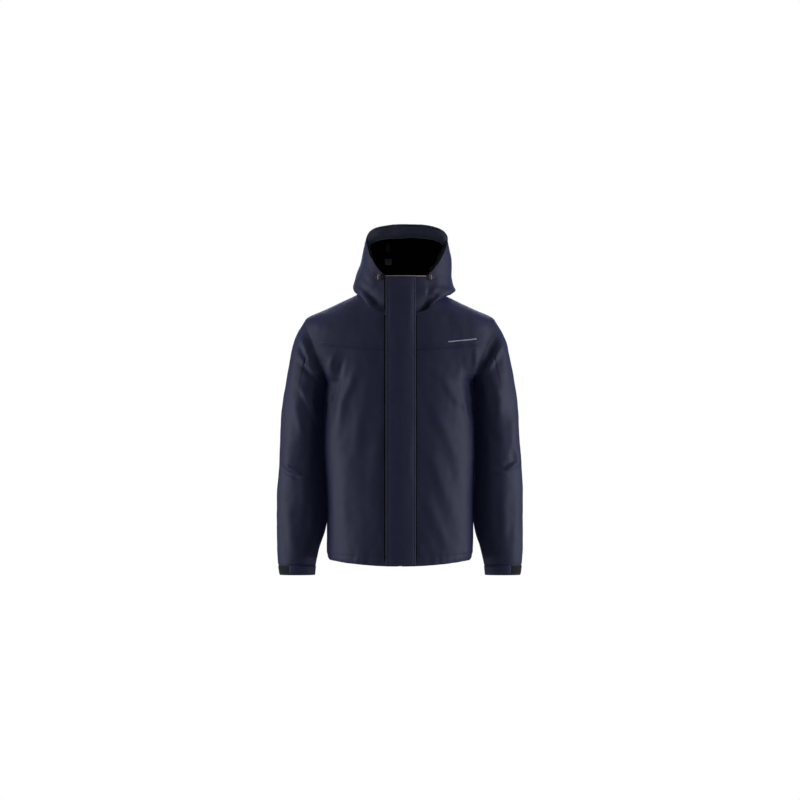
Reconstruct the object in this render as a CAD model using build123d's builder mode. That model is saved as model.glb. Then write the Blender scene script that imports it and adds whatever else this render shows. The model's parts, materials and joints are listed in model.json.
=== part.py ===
from build123d import *
import math
import os

# Hooded foul weather jacket, men's size L, hanging as if worn with the arms down.
# The wearer faces -Y and the wearer's left is +X. The origin is the middle of the neck opening.
# Cloth parts are closed shells of true size; the layers are kept a little thicker than cloth.

os.makedirs("parts", exist_ok=True)

# ---- driving dimensions, mm ----
SHELL = 1.6
LINING = 0.8
AIR = 0.3
FRONT_Y = -115.5
FRONT_LEAN = 0.0468
HEM_Z = -735
CHIN_Z = 32
FRONT_YOKE_Z = -164
BACK_YOKE_Z = -190
ZIP_HALF_GAP = 6
LINING_HALF_GAP = 22

# Body sections from the hem up: height, half width, back.
BODY_ROWS = [
    (HEM_Z, 190, 119),
    (-722, 197, 121),
    (-600, 198, 125),
    (-500, 203, 128),
    (-363, 205, 132),
    (-300, 203, 138),
    (-261, 196, 140),
    (-250, 197, 140),
    (-240, 222, 139),
    (-200, 265, 137),
    (-165, 290, 135),
    (-110, 285, 118),
    (-85, 262, 109),
    (-55, 197, 104),
    (-25, 133, 100),
    (0, 82, 96),
]

# The armhole lies in a slanted plane from the armpit to the shoulder tip (x, z).
ARMPIT = (196.6, -250)
SHOULDER_TIP = (257, -85)

# Sleeve sections: inner point, outer point (x, z), half depth, middle (y).
SLEEVE_ROWS = [
    ((197.6, -250.3), (257.9, -85.4), 79, -2),
    ((201.5, -254), (288, -157), 80, -3),
    ((204.5, -258), (299, -210), 80, -4),
    ((207, -262), (308, -264), 79, -5),
    ((209, -300), (314, -300), 77, -6),
    ((212, -363), (320, -363), 73, -8),
    ((211.5, -433), (324, -433), 68, -10),
    ((208, -500), (328, -500), 64, -13),
    ((204.5, -567), (331, -567), 60, -16),
    ((202.5, -620), (332, -620), 57, -18),
    ((216.5, -700), (331, -700), 51, -21),
    ((224.6, -741), (328.4, -741), 46, -22),
    ((228.6, -769), (325, -769), 43, -23),
]
CUFF_TOP_Z = -741
CUFF_Z = -769

# Collar and hood sections: height, half width, front, back, middle (x).
HOOD_ROWS = [
    (-85, 111, None, 84, 0),
    (-10, 111.5, None, 86.5, 0),
    (-2, 130, None, 86.5, 4),
    (5, 134, None, 90, 6),
    (CHIN_Z, 131, None, 106, 6),
    (75, 121, -109, 126, 16),
    (120, 112, -112, 124, 18),
    (150, 104, -121, 100, 19),
    (168, 85, -112, 66, 19),
    (175, 50, -88, 10, 19),
]
NECK_TILT = 0.32
NECK_FRONT = (-118.5, -65)
HOOD_MIDDLE_X = 19
HOOD_CENTRE_HALF = 38
HOOD_HINGE = (92, 8)
HOOD_CHIN = (-110, 45)

FLAP_FREE_X = -38
FLAP_HINGE_X = 42
FLAP_THICK = 2.0
FLAP_RISE = 6.5

TOOTH_PITCH = 5
TOOTH_IN = 0.9
TOOTH_OUT = 4.5
TOOTH_DEPTH = (2.2, 4.7)
TAPE_OUT = 13
TAPE_DEPTH = (3.4, 3.9)

CORD_DIA = 2.5
CORD_STANDOFF = 6.2
LOCK_Z = 29
LOCK_X = {"left": 78, "right": -54}
LOCK_DIA = 9
LOCK_FLOOR = 1.6
LOCK_LENGTH = 12
PLUNGER_DIA = 6
PLUNGER_OUT = 3.5
PLUNGER_FOOT = 4.7
SPRING_FOOT = 2.0
SPRING_LENGTH = 2.3
EYELET_OUTER = 9
EYELET_HOLE = 4

SIDES = (("left", 1), ("right", -1))


def front_y(z):
    """Front of the jacket on its middle line, a straight line that leans back upwards."""
    return FRONT_Y + FRONT_LEAN * z


# ---- helper forms ----
def body_form(inset, beyond=0):
    """Solid of the body, inset from the outer cloth, reaching `beyond` under the hem."""
    hem, half_width, back = BODY_ROWS[0]
    rows = [(hem - beyond, half_width, back)] + BODY_ROWS if beyond else BODY_ROWS
    with BuildPart() as form:
        for z, half_width, back in rows:
            front = front_y(z)
            level = z - (inset if z > -120 else 0)
            with BuildSketch(Plane.XY.offset(level)):
                with Locations((0, (front + back) / 2)):
                    Ellipse(half_width - inset, (back - front) / 2 - inset)
        loft(ruled=True)
    return form.part


def hood_form(inset):
    """Solid of the collar and hood, inset from the outer cloth."""
    with BuildPart() as form:
        for z, half_width, front, back, middle in HOOD_ROWS:
            front = front_y(z) if front is None else front
            level = z - (inset if z > CHIN_Z or z < -80 else 0)
            with BuildSketch(Plane.XY.offset(level)):
                with Locations((middle, (front + back) / 2)):
                    Ellipse(half_width - inset, (back - front) / 2 - inset)
        loft(ruled=True)
    return form.part


def sleeve_form(inset, beyond=0):
    """Solid of the left sleeve, inset from the outer cloth, reaching `beyond` both ends."""
    rows = [(0, *row) for row in SLEEVE_ROWS]
    if beyond:
        rows = [(beyond, *SLEEVE_ROWS[0])] + rows + [(-beyond, *SLEEVE_ROWS[-1])]
    with BuildPart() as form:
        for shift, inner, outer, half_depth, middle in rows:
            run_x = outer[0] - inner[0]
            run_z = outer[1] - inner[1]
            length = math.hypot(run_x, run_z)
            along = (run_x / length, 0, run_z / length)
            out = (-run_z / length, 0, run_x / length)
            centre = Vector((inner[0] + outer[0]) / 2, middle, (inner[1] + outer[1]) / 2)
            centre = centre + Vector(*out) * shift
            with BuildSketch(Plane(origin=centre, x_dir=along, z_dir=out)):
                Ellipse(length / 2 - inset, half_depth - inset)
        loft(ruled=True)
    return form.part


def shell_of(form, outer, inner, beyond=6):
    """Shell between two insets of a form; the inner solid runs past the open ends."""
    return form(outer) - form(inner, beyond)


def block(x, y, z):
    """Box from its three ranges."""
    box = Box(x[1] - x[0], y[1] - y[0], z[1] - z[0])
    return Pos((x[0] + x[1]) / 2, (y[0] + y[1]) / 2, (z[0] + z[1]) / 2) * box


def write(part, name):
    part.label = name
    export_step(part, f"parts/{name}.step")


FRONT = Plane(origin=(0, front_y(HEM_Z), HEM_Z), x_dir=(1, 0, 0), z_dir=(0, FRONT_LEAN, 1))
FRONT_SLOPE = math.hypot(1, FRONT_LEAN)
ALL = (-600, 600)


def up_front(z):
    """Distance up the front line to a height."""
    return (z - HEM_Z) * FRONT_SLOPE


# ---- cutting solids ----
NECK_HALF = (115, 124)
neck_mid_y = -26
neck_mid_z = NECK_FRONT[1] + (neck_mid_y - NECK_FRONT[0]) * NECK_TILT
NECK_PLANE = Plane(
    origin=(0, neck_mid_y, neck_mid_z), x_dir=(1, 0, 0), z_dir=(0, -NECK_TILT, 1)
)
with BuildPart() as neck_hole:
    with BuildSketch(NECK_PLANE):
        Ellipse(*NECK_HALF)
    extrude(amount=130)

arm_x = SHOULDER_TIP[0] - ARMPIT[0]
arm_z = SHOULDER_TIP[1] - ARMPIT[1]
armhole_cuts = []
for _, s in SIDES:
    with BuildPart() as armhole:
        with BuildSketch(Plane.XZ):
            with BuildLine():
                Polyline(
                    (s * ARMPIT[0], ARMPIT[1]),
                    (s * (ARMPIT[0] + 1.5 * arm_x), ARMPIT[1] + 1.5 * arm_z),
                    (s * 500, ARMPIT[1] + 1.5 * arm_z),
                    (s * 500, ARMPIT[1]),
                    close=True,
                )
            make_face()
        extrude(amount=250, both=True)
    armhole_cuts.append(armhole.part)

front_gap = block((-ZIP_HALF_GAP, ZIP_HALF_GAP), (-300, -40), (-900, 200))
lining_gap = block((-LINING_HALF_GAP, LINING_HALF_GAP), (-300, -40), (-900, 200))

with BuildPart() as face_opening:
    with BuildSketch(Plane.XZ.offset(45)):
        with BuildLine():
            Polyline((-87, 129), (-87, 163), (125, 163), (125, 129))
            Spline((125, 129), (108, 75), (70, CHIN_Z))
            Line((70, CHIN_Z), (-35, CHIN_Z))
            Spline((-35, CHIN_Z), (-70, 70), (-87, 129))
        make_face()
    extrude(amount=120)

hood_split = (HOOD_CHIN[1] - HOOD_HINGE[1]) / (HOOD_CHIN[0] - HOOD_HINGE[0])
HOOD_PLANE = Plane(
    origin=(0, HOOD_HINGE[0], HOOD_HINGE[1]), x_dir=(1, 0, 0), z_dir=(0, -hood_split, 1)
)

# ---- stock shells, cut to the openings ----
body_shell = shell_of(body_form, 0, SHELL) - neck_hole.part - armhole_cuts[0] - armhole_cuts[1]
lining_in = SHELL + AIR
body_lining_shell = (
    shell_of(body_form, lining_in, lining_in + LINING)
    - neck_hole.part
    - armhole_cuts[0]
    - armhole_cuts[1]
    - lining_gap
)
hood_shell = hood_form(0) - hood_form(SHELL) - face_opening.part
hood_lining_shell = hood_form(lining_in) - hood_form(lining_in + LINING) - face_opening.part
collar_stock = split(hood_shell, bisect_by=HOOD_PLANE.offset(-AIR), keep=Keep.BOTTOM)
collar_stock = split(collar_stock, bisect_by=NECK_PLANE, keep=Keep.TOP)
collar_inside = split(hood_lining_shell, bisect_by=HOOD_PLANE.offset(-AIR), keep=Keep.BOTTOM)
collar_inside = split(collar_inside, bisect_by=NECK_PLANE, keep=Keep.TOP)
hood_stock = split(hood_shell, bisect_by=HOOD_PLANE.offset(AIR), keep=Keep.TOP)
hood_inside = split(hood_lining_shell, bisect_by=HOOD_PLANE.offset(AIR), keep=Keep.TOP)

# ---- body panels and yokes ----
with BuildPart() as back_panel:
    add(body_shell)
    split(bisect_by=Plane.XZ, keep=Keep.BOTTOM)
    split(bisect_by=Plane.XY.offset(BACK_YOKE_Z), keep=Keep.BOTTOM)
write(back_panel.part, "back_panel")

with BuildPart() as back_yoke:
    add(body_shell)
    split(bisect_by=Plane.XZ, keep=Keep.BOTTOM)
    split(bisect_by=Plane.XY.offset(BACK_YOKE_Z), keep=Keep.TOP)
write(back_yoke.part, "back_yoke")

for side, s in SIDES:
    half = block((0, 400 * s) if s > 0 else (-400, 0), (-300, 0), (-900, 100))
    with BuildPart() as front_panel:
        add(body_shell)
        add(half, mode=Mode.INTERSECT)
        split(bisect_by=Plane.XY.offset(FRONT_YOKE_Z), keep=Keep.BOTTOM)
        add(front_gap, mode=Mode.SUBTRACT)
    write(front_panel.part, f"front_panel_{side}")
    with BuildPart() as front_yoke:
        add(body_shell)
        add(half, mode=Mode.INTERSECT)
        split(bisect_by=Plane.XY.offset(FRONT_YOKE_Z), keep=Keep.TOP)
        add(front_gap, mode=Mode.SUBTRACT)
    write(front_yoke.part, f"front_yoke_{side}")

# ---- what the body holds inside ----
FACING_TOP_Z = -705
with BuildPart() as body_lining:
    add(body_lining_shell)
    split(bisect_by=Plane.XY.offset(FACING_TOP_Z), keep=Keep.TOP)
write(body_lining.part, "body_lining")

with BuildPart() as hem_facing:
    add(body_lining_shell)
    split(bisect_by=Plane.XY.offset(FACING_TOP_Z - AIR), keep=Keep.BOTTOM)
write(hem_facing.part, "hem_facing")

# ---- collar ----
with BuildPart() as collar:
    add(collar_stock)
    add(front_gap, mode=Mode.SUBTRACT)
write(collar.part, "collar")

with BuildPart() as collar_lining:
    add(collar_inside)
    add(lining_gap, mode=Mode.SUBTRACT)
write(collar_lining.part, "collar_lining")

BINDING = 1.6
with BuildPart() as chin_binding:
    add(hood_form(0) - hood_form(lining_in + LINING))
    add(block((-34, 69), (-300, -60), (CHIN_Z, CHIN_Z + BINDING)), mode=Mode.INTERSECT)
    add(front_gap, mode=Mode.SUBTRACT)
write(chin_binding.part, "chin_binding")

# ---- hood ----
LEFT_SEAM = Plane.YZ.offset(HOOD_MIDDLE_X + HOOD_CENTRE_HALF)
RIGHT_SEAM = Plane.YZ.offset(HOOD_MIDDLE_X - HOOD_CENTRE_HALF)
with BuildPart() as hood_side_left:
    add(hood_stock)
    split(bisect_by=LEFT_SEAM, keep=Keep.TOP)
write(hood_side_left.part, "hood_side_left")

with BuildPart() as hood_side_right:
    add(hood_stock)
    split(bisect_by=RIGHT_SEAM, keep=Keep.BOTTOM)
write(hood_side_right.part, "hood_side_right")

with BuildPart() as hood_centre:
    add(hood_stock)
    split(bisect_by=LEFT_SEAM, keep=Keep.BOTTOM)
    split(bisect_by=RIGHT_SEAM, keep=Keep.TOP)
write(hood_centre.part, "hood_centre")

brim_zone = block((-300, 300), (-300, -45), (150, 300))
with BuildPart() as hood_lining:
    add(hood_inside)
    add(brim_zone, mode=Mode.SUBTRACT)
write(hood_lining.part, "hood_lining")

with BuildPart() as hood_brim:
    add(hood_inside)
    add(brim_zone, mode=Mode.INTERSECT)
write(hood_brim.part, "hood_brim_facing")

label_out = lining_in + LINING + 0.1
label_shell = hood_form(label_out) - hood_form(label_out + 0.5)
with BuildPart() as hood_label:
    add(label_shell)
    add(block((-41, -22), (0, 300), (76, 92)), mode=Mode.INTERSECT)
write(hood_label.part, "hood_label")

with BuildPart() as hood_tab:
    add(label_shell)
    add(block((-38, -28), (0, 300), (100, 126)), mode=Mode.INTERSECT)
write(hood_tab.part, "hood_tab")

# ---- front closure: zip, guard, storm flap ----
zip_bottom = 4
zip_top = up_front(CHIN_Z - 5)
for side, s in SIDES:
    with BuildPart() as zip_tape:
        with BuildSketch(FRONT.offset(zip_bottom)):
            with Locations((s * (TOOTH_OUT + TAPE_OUT) / 2, sum(TAPE_DEPTH) / 2)):
                Rectangle(TAPE_OUT - TOOTH_OUT, TAPE_DEPTH[1] - TAPE_DEPTH[0])
        extrude(amount=zip_top - zip_bottom)
    write(zip_tape.part, f"zip_tape_{side}")

    # the teeth of one side stand half a pitch above those of the other
    first_tooth = 22 + (TOOTH_PITCH / 2 if s > 0 else 0)
    tooth_count = int((zip_top - 8 - first_tooth) / TOOTH_PITCH)
    teeth = []
    for i in range(tooth_count):
        with BuildPart() as tooth:
            with BuildSketch(FRONT.offset(first_tooth + i * TOOTH_PITCH)):
                with Locations((s * (TOOTH_IN + TOOTH_OUT) / 2, sum(TOOTH_DEPTH) / 2)):
                    Rectangle(TOOTH_OUT - TOOTH_IN, TOOTH_DEPTH[1] - TOOTH_DEPTH[0])
            extrude(amount=2.4)
        teeth.append(tooth.part.solid())
    write(Compound(children=teeth), f"zip_teeth_{side}")

with BuildPart() as zip_box:
    with BuildSketch(FRONT.offset(zip_bottom)):
        with Locations((-2.9, 3.55)):
            Rectangle(3.2, 3.6)
    extrude(amount=16)
write(zip_box.part, "zip_box")

with BuildPart() as zip_pin:
    with BuildSketch(FRONT.offset(zip_bottom)):
        with Locations((2.9, 3.55)):
            Rectangle(3.2, 2.6)
    extrude(amount=16)
write(zip_pin.part, "zip_pin")

GUARD_DEPTH = (7.0, 8.2)
with BuildPart() as zip_guard:
    with BuildSketch(FRONT.offset(zip_bottom)):
        with Locations((0, sum(GUARD_DEPTH) / 2)):
            Rectangle(46, GUARD_DEPTH[1] - GUARD_DEPTH[0])
    extrude(amount=up_front(CHIN_Z - 6) - zip_bottom)
write(zip_guard.part, "zip_guard")


def flap_arc(lift):
    """Points of the flap's cross section at a height above its inner face."""
    middle_x = (FLAP_FREE_X + FLAP_HINGE_X) / 2
    return (FLAP_FREE_X, -2.0 - lift), (middle_x, -FLAP_RISE - lift), (FLAP_HINGE_X, -1.0 - lift)


with BuildPart() as storm_flap:
    with BuildSketch(FRONT.offset(-5)):
        with BuildLine():
            inside = ThreePointArc(*flap_arc(0))
            outside = ThreePointArc(*flap_arc(FLAP_THICK))
            Line(inside @ 0, outside @ 0)
            Line(inside @ 1, outside @ 1)
        make_face()
    extrude(amount=up_front(CHIN_Z) + 5)
write(storm_flap.part, "storm_flap")

PATCH_X = (-35, -17)
PATCH_LENGTH = 60
PATCH_SPACING = 158
hook_patches = []
loop_patches = []
for i in range(5):
    start = 20 + i * PATCH_SPACING
    with BuildPart() as hook_patch:
        with BuildSketch(FRONT.offset(start)):
            with BuildLine():
                upper = ThreePointArc(*flap_arc(-0.1))
                lower = ThreePointArc(*flap_arc(-1.1))
                Line(upper @ 0, lower @ 0)
                Line(upper @ 1, lower @ 1)
            make_face()
        extrude(amount=PATCH_LENGTH)
        add(block(PATCH_X, (-300, 0), (-900, 200)), mode=Mode.INTERSECT)
    hook_patches.append(hook_patch.part.solid())
    with BuildPart() as loop_patch:
        with BuildSketch(FRONT.offset(start)):
            with BuildLine():
                Polyline((-17, 0), (-35, 0.6), (-35, -0.6), (-17, -1.2), close=True)
            make_face()
        extrude(amount=PATCH_LENGTH)
    loop_patches.append(loop_patch.part.solid())
write(Compound(children=hook_patches), "flap_hook_patches")
write(Compound(children=loop_patches), "flap_loop_patches")

# ---- zip slider and pull ----
SLIDER_Z = up_front(14)
PULL_PIN_DEPTH = -0.5
with BuildPart() as zip_slider:
    with BuildSketch(FRONT.offset(SLIDER_Z)):
        with Locations((0, 1.15)):
            Rectangle(11, 1.5)
        with Locations((0, 5.6)):
            Rectangle(11, 1.2)
        with Locations((0, 3.4)):
            Rectangle(1.0, 3.4)
        for s in (1, -1):
            with Locations((s * 5.2, 2.3)):
                Rectangle(0.6, 1.2)
            with Locations((s * 5.2, 4.7)):
                Rectangle(0.6, 0.8)
    extrude(amount=14)
    # the bail, an arch on the front plate
    with BuildSketch(FRONT.offset(SLIDER_Z + 3)):
        with Locations((0, -0.9)):
            Rectangle(2, 2.8)
    extrude(amount=7)
    with BuildSketch(FRONT.offset(SLIDER_Z + 4.2)):
        with Locations((0, -0.4)):
            Rectangle(2, 1.6)
    extrude(amount=4.6, mode=Mode.SUBTRACT)
write(zip_slider.part, "zip_slider")

PULL_PIN_UP = SLIDER_Z + 6.5
with BuildPart() as zip_pull:
    with BuildSketch(FRONT.offset(PULL_PIN_UP - 20)):
        with Locations((0, PULL_PIN_DEPTH)):
            Rectangle(8, 1.2)
    extrude(amount=14)
    for s in (1, -1):
        with BuildSketch(FRONT.offset(PULL_PIN_UP - 6)):
            with Locations((s * 2.2, PULL_PIN_DEPTH)):
                Rectangle(1.2, 1.0)
        extrude(amount=6.5)
    with BuildSketch(FRONT.offset(PULL_PIN_UP - 0.5)):
        with Locations((0, PULL_PIN_DEPTH)):
            Rectangle(5.6, 0.9)
    extrude(amount=1.0)
write(zip_pull.part, "zip_pull")

# ---- drawcords, eyelets and cord locks on the collar ----
def collar_point(x):
    """Point and level outward direction on the collar at the cord locks' height."""
    low, high = HOOD_ROWS[3], HOOD_ROWS[4]
    share = (LOCK_Z - low[0]) / (high[0] - low[0])
    half_width = low[1] + share * (high[1] - low[1])
    back = low[3] + share * (high[3] - low[3])
    middle = low[4]
    front = front_y(LOCK_Z)
    half_depth = (back - front) / 2
    centre_y = (back + front) / 2
    y = centre_y - half_depth * math.sqrt(1 - ((x - middle) / half_width) ** 2)
    outward = Vector((x - middle) / half_width**2, (y - centre_y) / half_depth**2, 0)
    return Vector(x, y, 0), outward.normalized()


# cord route beside the collar: along it, and off it
CORD_ROUTE = [(-13, 1.6), (-12, 4.6), (-7.5, CORD_STANDOFF), (7.5, CORD_STANDOFF)]
CORD_ROUTE += [(12, 4.6), (13, 0.6)]

for side, s in SIDES:
    base, outward = collar_point(LOCK_X[side])
    base = Vector(base.X, base.Y, LOCK_Z)
    # towards the middle of the front
    along = Vector(0, 0, 1).cross(outward)
    along = along if along.X * s < 0 else along * -1
    places = [base + along * a + outward * h for a, h in CORD_ROUTE]
    turns = []
    runs = [(places[i + 1] - places[i]) for i in range(len(places) - 1)]
    for before, after in zip(runs, runs[1:]):
        angle = math.radians(before.get_angle(after))
        turns.append(0.45 * min(before.length, after.length) / math.tan(angle / 2))
    print("cord radii", side, [round(r, 1) for r in turns])
    print("cord points", side, [tuple(round(v, 2) for v in tuple(p)) for p in places])
    with BuildPart() as drawcord:
        with BuildLine():
            route = FilletPolyline(*places, radius=turns)
        with BuildSketch(Plane(origin=route @ 0, z_dir=route % 0)):
            Circle(CORD_DIA / 2)
        sweep(path=route)
    print("cord length", side, round(route.length, 1))
    write(drawcord.part, f"drawcord_{side}")

    eyelet_at = base + along * CORD_ROUTE[0][0] + outward * 0.3
    with BuildPart() as eyelet:
        with BuildSketch(Plane(origin=eyelet_at, z_dir=outward)):
            Circle(EYELET_OUTER / 2)
            Circle(EYELET_HOLE / 2, mode=Mode.SUBTRACT)
        extrude(amount=1.2)
    write(eyelet.part, f"eyelet_{side}")

    middle = base + outward * CORD_STANDOFF
    stand = Plane(origin=middle - Vector(0, 0, LOCK_LENGTH / 2), x_dir=along, z_dir=(0, 0, 1))
    across = Plane(origin=middle - along * 10, x_dir=outward, z_dir=along)
    with BuildPart() as lock_body:
        with BuildSketch(stand):
            Circle(LOCK_DIA / 2)
        extrude(amount=LOCK_LENGTH)
        fillet(lock_body.edges().filter_by(GeomType.CIRCLE).group_by(Axis.Z)[0], 1.2)
        with BuildSketch(stand.offset(LOCK_FLOOR)):
            Circle(PLUNGER_DIA / 2 + 0.25)
        extrude(amount=LOCK_LENGTH, mode=Mode.SUBTRACT)
        with BuildSketch(across):
            Circle(1.8)
        extrude(amount=20, mode=Mode.SUBTRACT)
    write(lock_body.part, f"cord_lock_body_{side}")

    crown = 1.6
    shoulder = LOCK_LENGTH + PLUNGER_OUT - crown
    with BuildPart() as plunger:
        with BuildSketch(stand.offset(PLUNGER_FOOT)):
            Circle(PLUNGER_DIA / 2)
        extrude(amount=shoulder - PLUNGER_FOOT)
        with BuildSketch(stand.offset(shoulder)):
            Circle(PLUNGER_DIA / 2)
        extrude(amount=crown, taper=25)
        # the cord's slot stays open through the whole press, so the foot is a fork
        with BuildSketch(across):
            SlotCenterToCenter(6.4, 3.6, rotation=90)
        extrude(amount=20, mode=Mode.SUBTRACT)
    write(plunger.part, f"cord_lock_plunger_{side}")

    with BuildPart() as spring:
        with BuildLine(stand.offset(SPRING_FOOT)):
            coil = Helix(pitch=0.92, height=SPRING_LENGTH, radius=2.2)
        with BuildSketch(Plane(origin=coil @ 0, z_dir=coil % 0)):
            Circle(0.3)
        sweep(path=coil, is_frenet=True)
    write(spring.part, f"cord_lock_spring_{side}")

# ---- hang loop in the nape ----
with BuildPart() as hang_loop:
    with BuildSketch(Plane.XY.offset(2)):
        with BuildLine():
            near = ThreePointArc((-32, 81.1), (0, 68), (32, 82.8))
            far = ThreePointArc((-32, 79.7), (0, 66.6), (32, 81.4))
            Line(near @ 0, far @ 0)
            Line(near @ 1, far @ 1)
        make_face()
    extrude(amount=8)
write(hang_loop.part, "hang_loop")

# ---- plain reflective bar on the left chest ----
with BuildPart() as chest_reflector:
    add(body_form(-0.7) - body_form(-0.2, 6))
    add(block((129, 204), (-300, -10), (-140, -134.5)), mode=Mode.INTERSECT)
write(chest_reflector.part, "chest_reflector")

# ---- sleeves and cuff tabs ----
SLEEVE_SEAM = Plane(origin=(262, 0, -400), x_dir=(0, 1, 0), z_dir=(1, 0, 0.03))
sleeve_shell = shell_of(sleeve_form, 0, SHELL)
sleeve_inside = shell_of(sleeve_form, lining_in, lining_in + LINING)
FACING_Z = -735
TAB_IN_X = 231
TAB_END_X = 299
TAB_Z = (-766, -744)
cuff_middle = -22
tab_zone = block((TAB_IN_X, TAB_END_X), (-200, cuff_middle), TAB_Z)
hook_zone = block((TAB_END_X - 22, TAB_END_X - 1), (-200, cuff_middle), (TAB_Z[0] + 1, TAB_Z[1] - 1))
loop_zone = block((TAB_END_X - 22, 400), (-200, 40), TAB_Z)
outer_half = split(sleeve_shell, bisect_by=SLEEVE_SEAM, keep=Keep.TOP)
inner_half = split(sleeve_shell, bisect_by=SLEEVE_SEAM, keep=Keep.BOTTOM)
above_facing = block(ALL, ALL, (FACING_Z + AIR / 2, 200))
below_facing = block(ALL, ALL, (-1000, FACING_Z - AIR / 2))
SLEEVE_PIECES = {
    "top_sleeve": outer_half,
    "under_sleeve": inner_half,
    "sleeve_lining": sleeve_inside & above_facing,
    "cuff_facing": sleeve_inside & below_facing,
    "cuff_loop_patch": shell_of(sleeve_form, -0.6, -0.1) & loop_zone,
    "cuff_tab": shell_of(sleeve_form, -2.9, -1.55) & tab_zone,
    "cuff_hook_patch": shell_of(sleeve_form, -1.5, -1.0) & hook_zone,
}
for side, s in SIDES:
    for piece, left_form in SLEEVE_PIECES.items():
        with BuildPart() as sleeve_piece:
            if s > 0:
                add(left_form)
            else:
                add(mirror(left_form, about=Plane.YZ, mode=Mode.PRIVATE))
        write(sleeve_piece.part, f"{piece}_{side}")
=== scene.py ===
import json
import math

import bmesh
import bpy
import numpy as np
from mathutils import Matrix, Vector, noise
from mathutils.bvhtree import BVHTree


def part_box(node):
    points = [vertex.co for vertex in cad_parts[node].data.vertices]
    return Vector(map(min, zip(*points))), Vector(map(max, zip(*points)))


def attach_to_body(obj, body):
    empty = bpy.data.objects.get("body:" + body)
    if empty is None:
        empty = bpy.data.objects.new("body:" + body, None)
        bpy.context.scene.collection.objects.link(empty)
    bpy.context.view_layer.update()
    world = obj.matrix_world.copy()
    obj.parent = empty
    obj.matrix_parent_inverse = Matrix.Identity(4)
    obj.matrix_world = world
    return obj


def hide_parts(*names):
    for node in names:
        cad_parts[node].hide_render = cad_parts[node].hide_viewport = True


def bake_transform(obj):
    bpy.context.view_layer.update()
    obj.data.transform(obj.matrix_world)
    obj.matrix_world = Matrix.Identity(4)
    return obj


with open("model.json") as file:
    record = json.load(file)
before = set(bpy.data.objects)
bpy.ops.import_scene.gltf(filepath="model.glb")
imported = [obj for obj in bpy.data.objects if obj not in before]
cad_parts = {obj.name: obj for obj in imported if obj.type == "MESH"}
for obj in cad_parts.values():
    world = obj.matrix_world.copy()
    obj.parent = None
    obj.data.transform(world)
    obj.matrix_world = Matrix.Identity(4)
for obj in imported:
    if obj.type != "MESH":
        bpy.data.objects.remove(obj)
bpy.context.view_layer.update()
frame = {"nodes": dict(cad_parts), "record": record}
MM = 0.001

# Hooded foul weather jacket. The wearer faces -Y and the wearer's left is +X.
# Shapes below are in millimetres in the frame's own axes, and become metres when a mesh is made.
# The cloth surfaces follow the sections of the body, sleeves and hood, with their folds laid on.


# ---------------------------------------------------------------- sizes from the frame
def cad(node):
    low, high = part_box(node)
    return np.array(low) / MM, np.array(high) / MM


FLAP_LOW, FLAP_HIGH = cad("storm_flap")
ZIP_LOW, ZIP_HIGH = cad("zip_teeth_left")
HEM_Z = cad("back_panel")[0][2]
CHIN_Z = FLAP_HIGH[2]
TEETH_DEEP = 2.5
LEAN = (ZIP_HIGH[1] - ZIP_LOW[1] - TEETH_DEEP) / (ZIP_HIGH[2] - ZIP_LOW[2])
FRONT_Y = -115.5  # the front's middle line at height 0


def front_y(z):
    """The middle line of the front leans back evenly as it rises."""
    return FRONT_Y + LEAN * z


# ---------------------------------------------------------------- camera, floor and light
DISTANCE = 14.0
FIELD_WIDTH = 2.152
EYE_HEIGHT = -0.2986
SENSOR = 36.0
FLOOR_Z = -1.6
LIGHT_AIM = (0, 0, -0.3)
# name, place, width, height, power
SOFTBOXES = [
    ("left_softbox", (-2.6, -0.5, -0.3), 1.6, 2.2, 98),
    ("right_softbox", (2.6, -0.5, -0.3), 1.6, 2.2, 106),
    ("front_softbox", (0.3, -3.6, 1.6), 2.6, 2.6, 30),
    ("top_softbox", (0, 0.4, 2.2), 1.6, 1.6, 26),
    ("back_softbox", (0, 3.4, 0.9), 2.4, 2.4, 60),
]


def set_stage():
    camera_data = bpy.data.cameras.new("camera")
    camera_data.sensor_width = SENSOR
    camera_data.lens = SENSOR * DISTANCE / FIELD_WIDTH
    camera = placed("camera", camera_data)
    camera.location = (0, -DISTANCE, EYE_HEIGHT)
    camera.rotation_euler = (math.radians(90), 0, 0)
    scene = bpy.context.scene
    scene.camera = camera
    scene.view_settings.view_transform = "Standard"
    for name, place, wide, tall, power in SOFTBOXES:
        lamp = bpy.data.lights.new(name, "AREA")
        lamp.shape = "RECTANGLE"
        lamp.size, lamp.size_y, lamp.energy = wide, tall, power
        holder = placed(name, lamp)
        holder.location = place
        aim = Vector(LIGHT_AIM) - Vector(place)
        holder.rotation_euler = aim.to_track_quat("-Z", "Y").to_euler()
    world = bpy.data.worlds.new("studio")
    scene.world = world
    world.use_nodes = True
    tree = world.node_tree
    tree.nodes.clear()
    seen = node(tree, "ShaderNodeLightPath")
    backdrop = node(tree, "ShaderNodeBackground", {0: (1, 1, 1, 1), 1: 1.0})
    room = node(tree, "ShaderNodeBackground", {0: (0.93, 0.96, 1.0, 1), 1: 0.14})
    sources = {0: seen.outputs["Is Camera Ray"], 1: room.outputs[0], 2: backdrop.outputs[0]}
    mix = node(tree, "ShaderNodeMixShader", {}, sources)
    node(tree, "ShaderNodeOutputWorld", {}, {0: mix.outputs[0]})
    bpy.ops.mesh.primitive_circle_add(
        vertices=96, radius=0.9, fill_type="NGON", location=(0, 0, FLOOR_Z)
    )
    floor = bpy.context.object
    floor.name = "floor"
    floor.data.materials.append(MATERIALS["floor"])


# ---------------------------------------------------------------- materials
def linear(hex_colour):
    """sRGB hex to the linear colour that shaders take."""
    parts = [int(hex_colour[i : i + 2], 16) / 255 for i in (1, 3, 5)]
    return [p / 12.92 if p <= 0.04045 else ((p + 0.055) / 1.055) ** 2.4 for p in parts] + [1]


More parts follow.
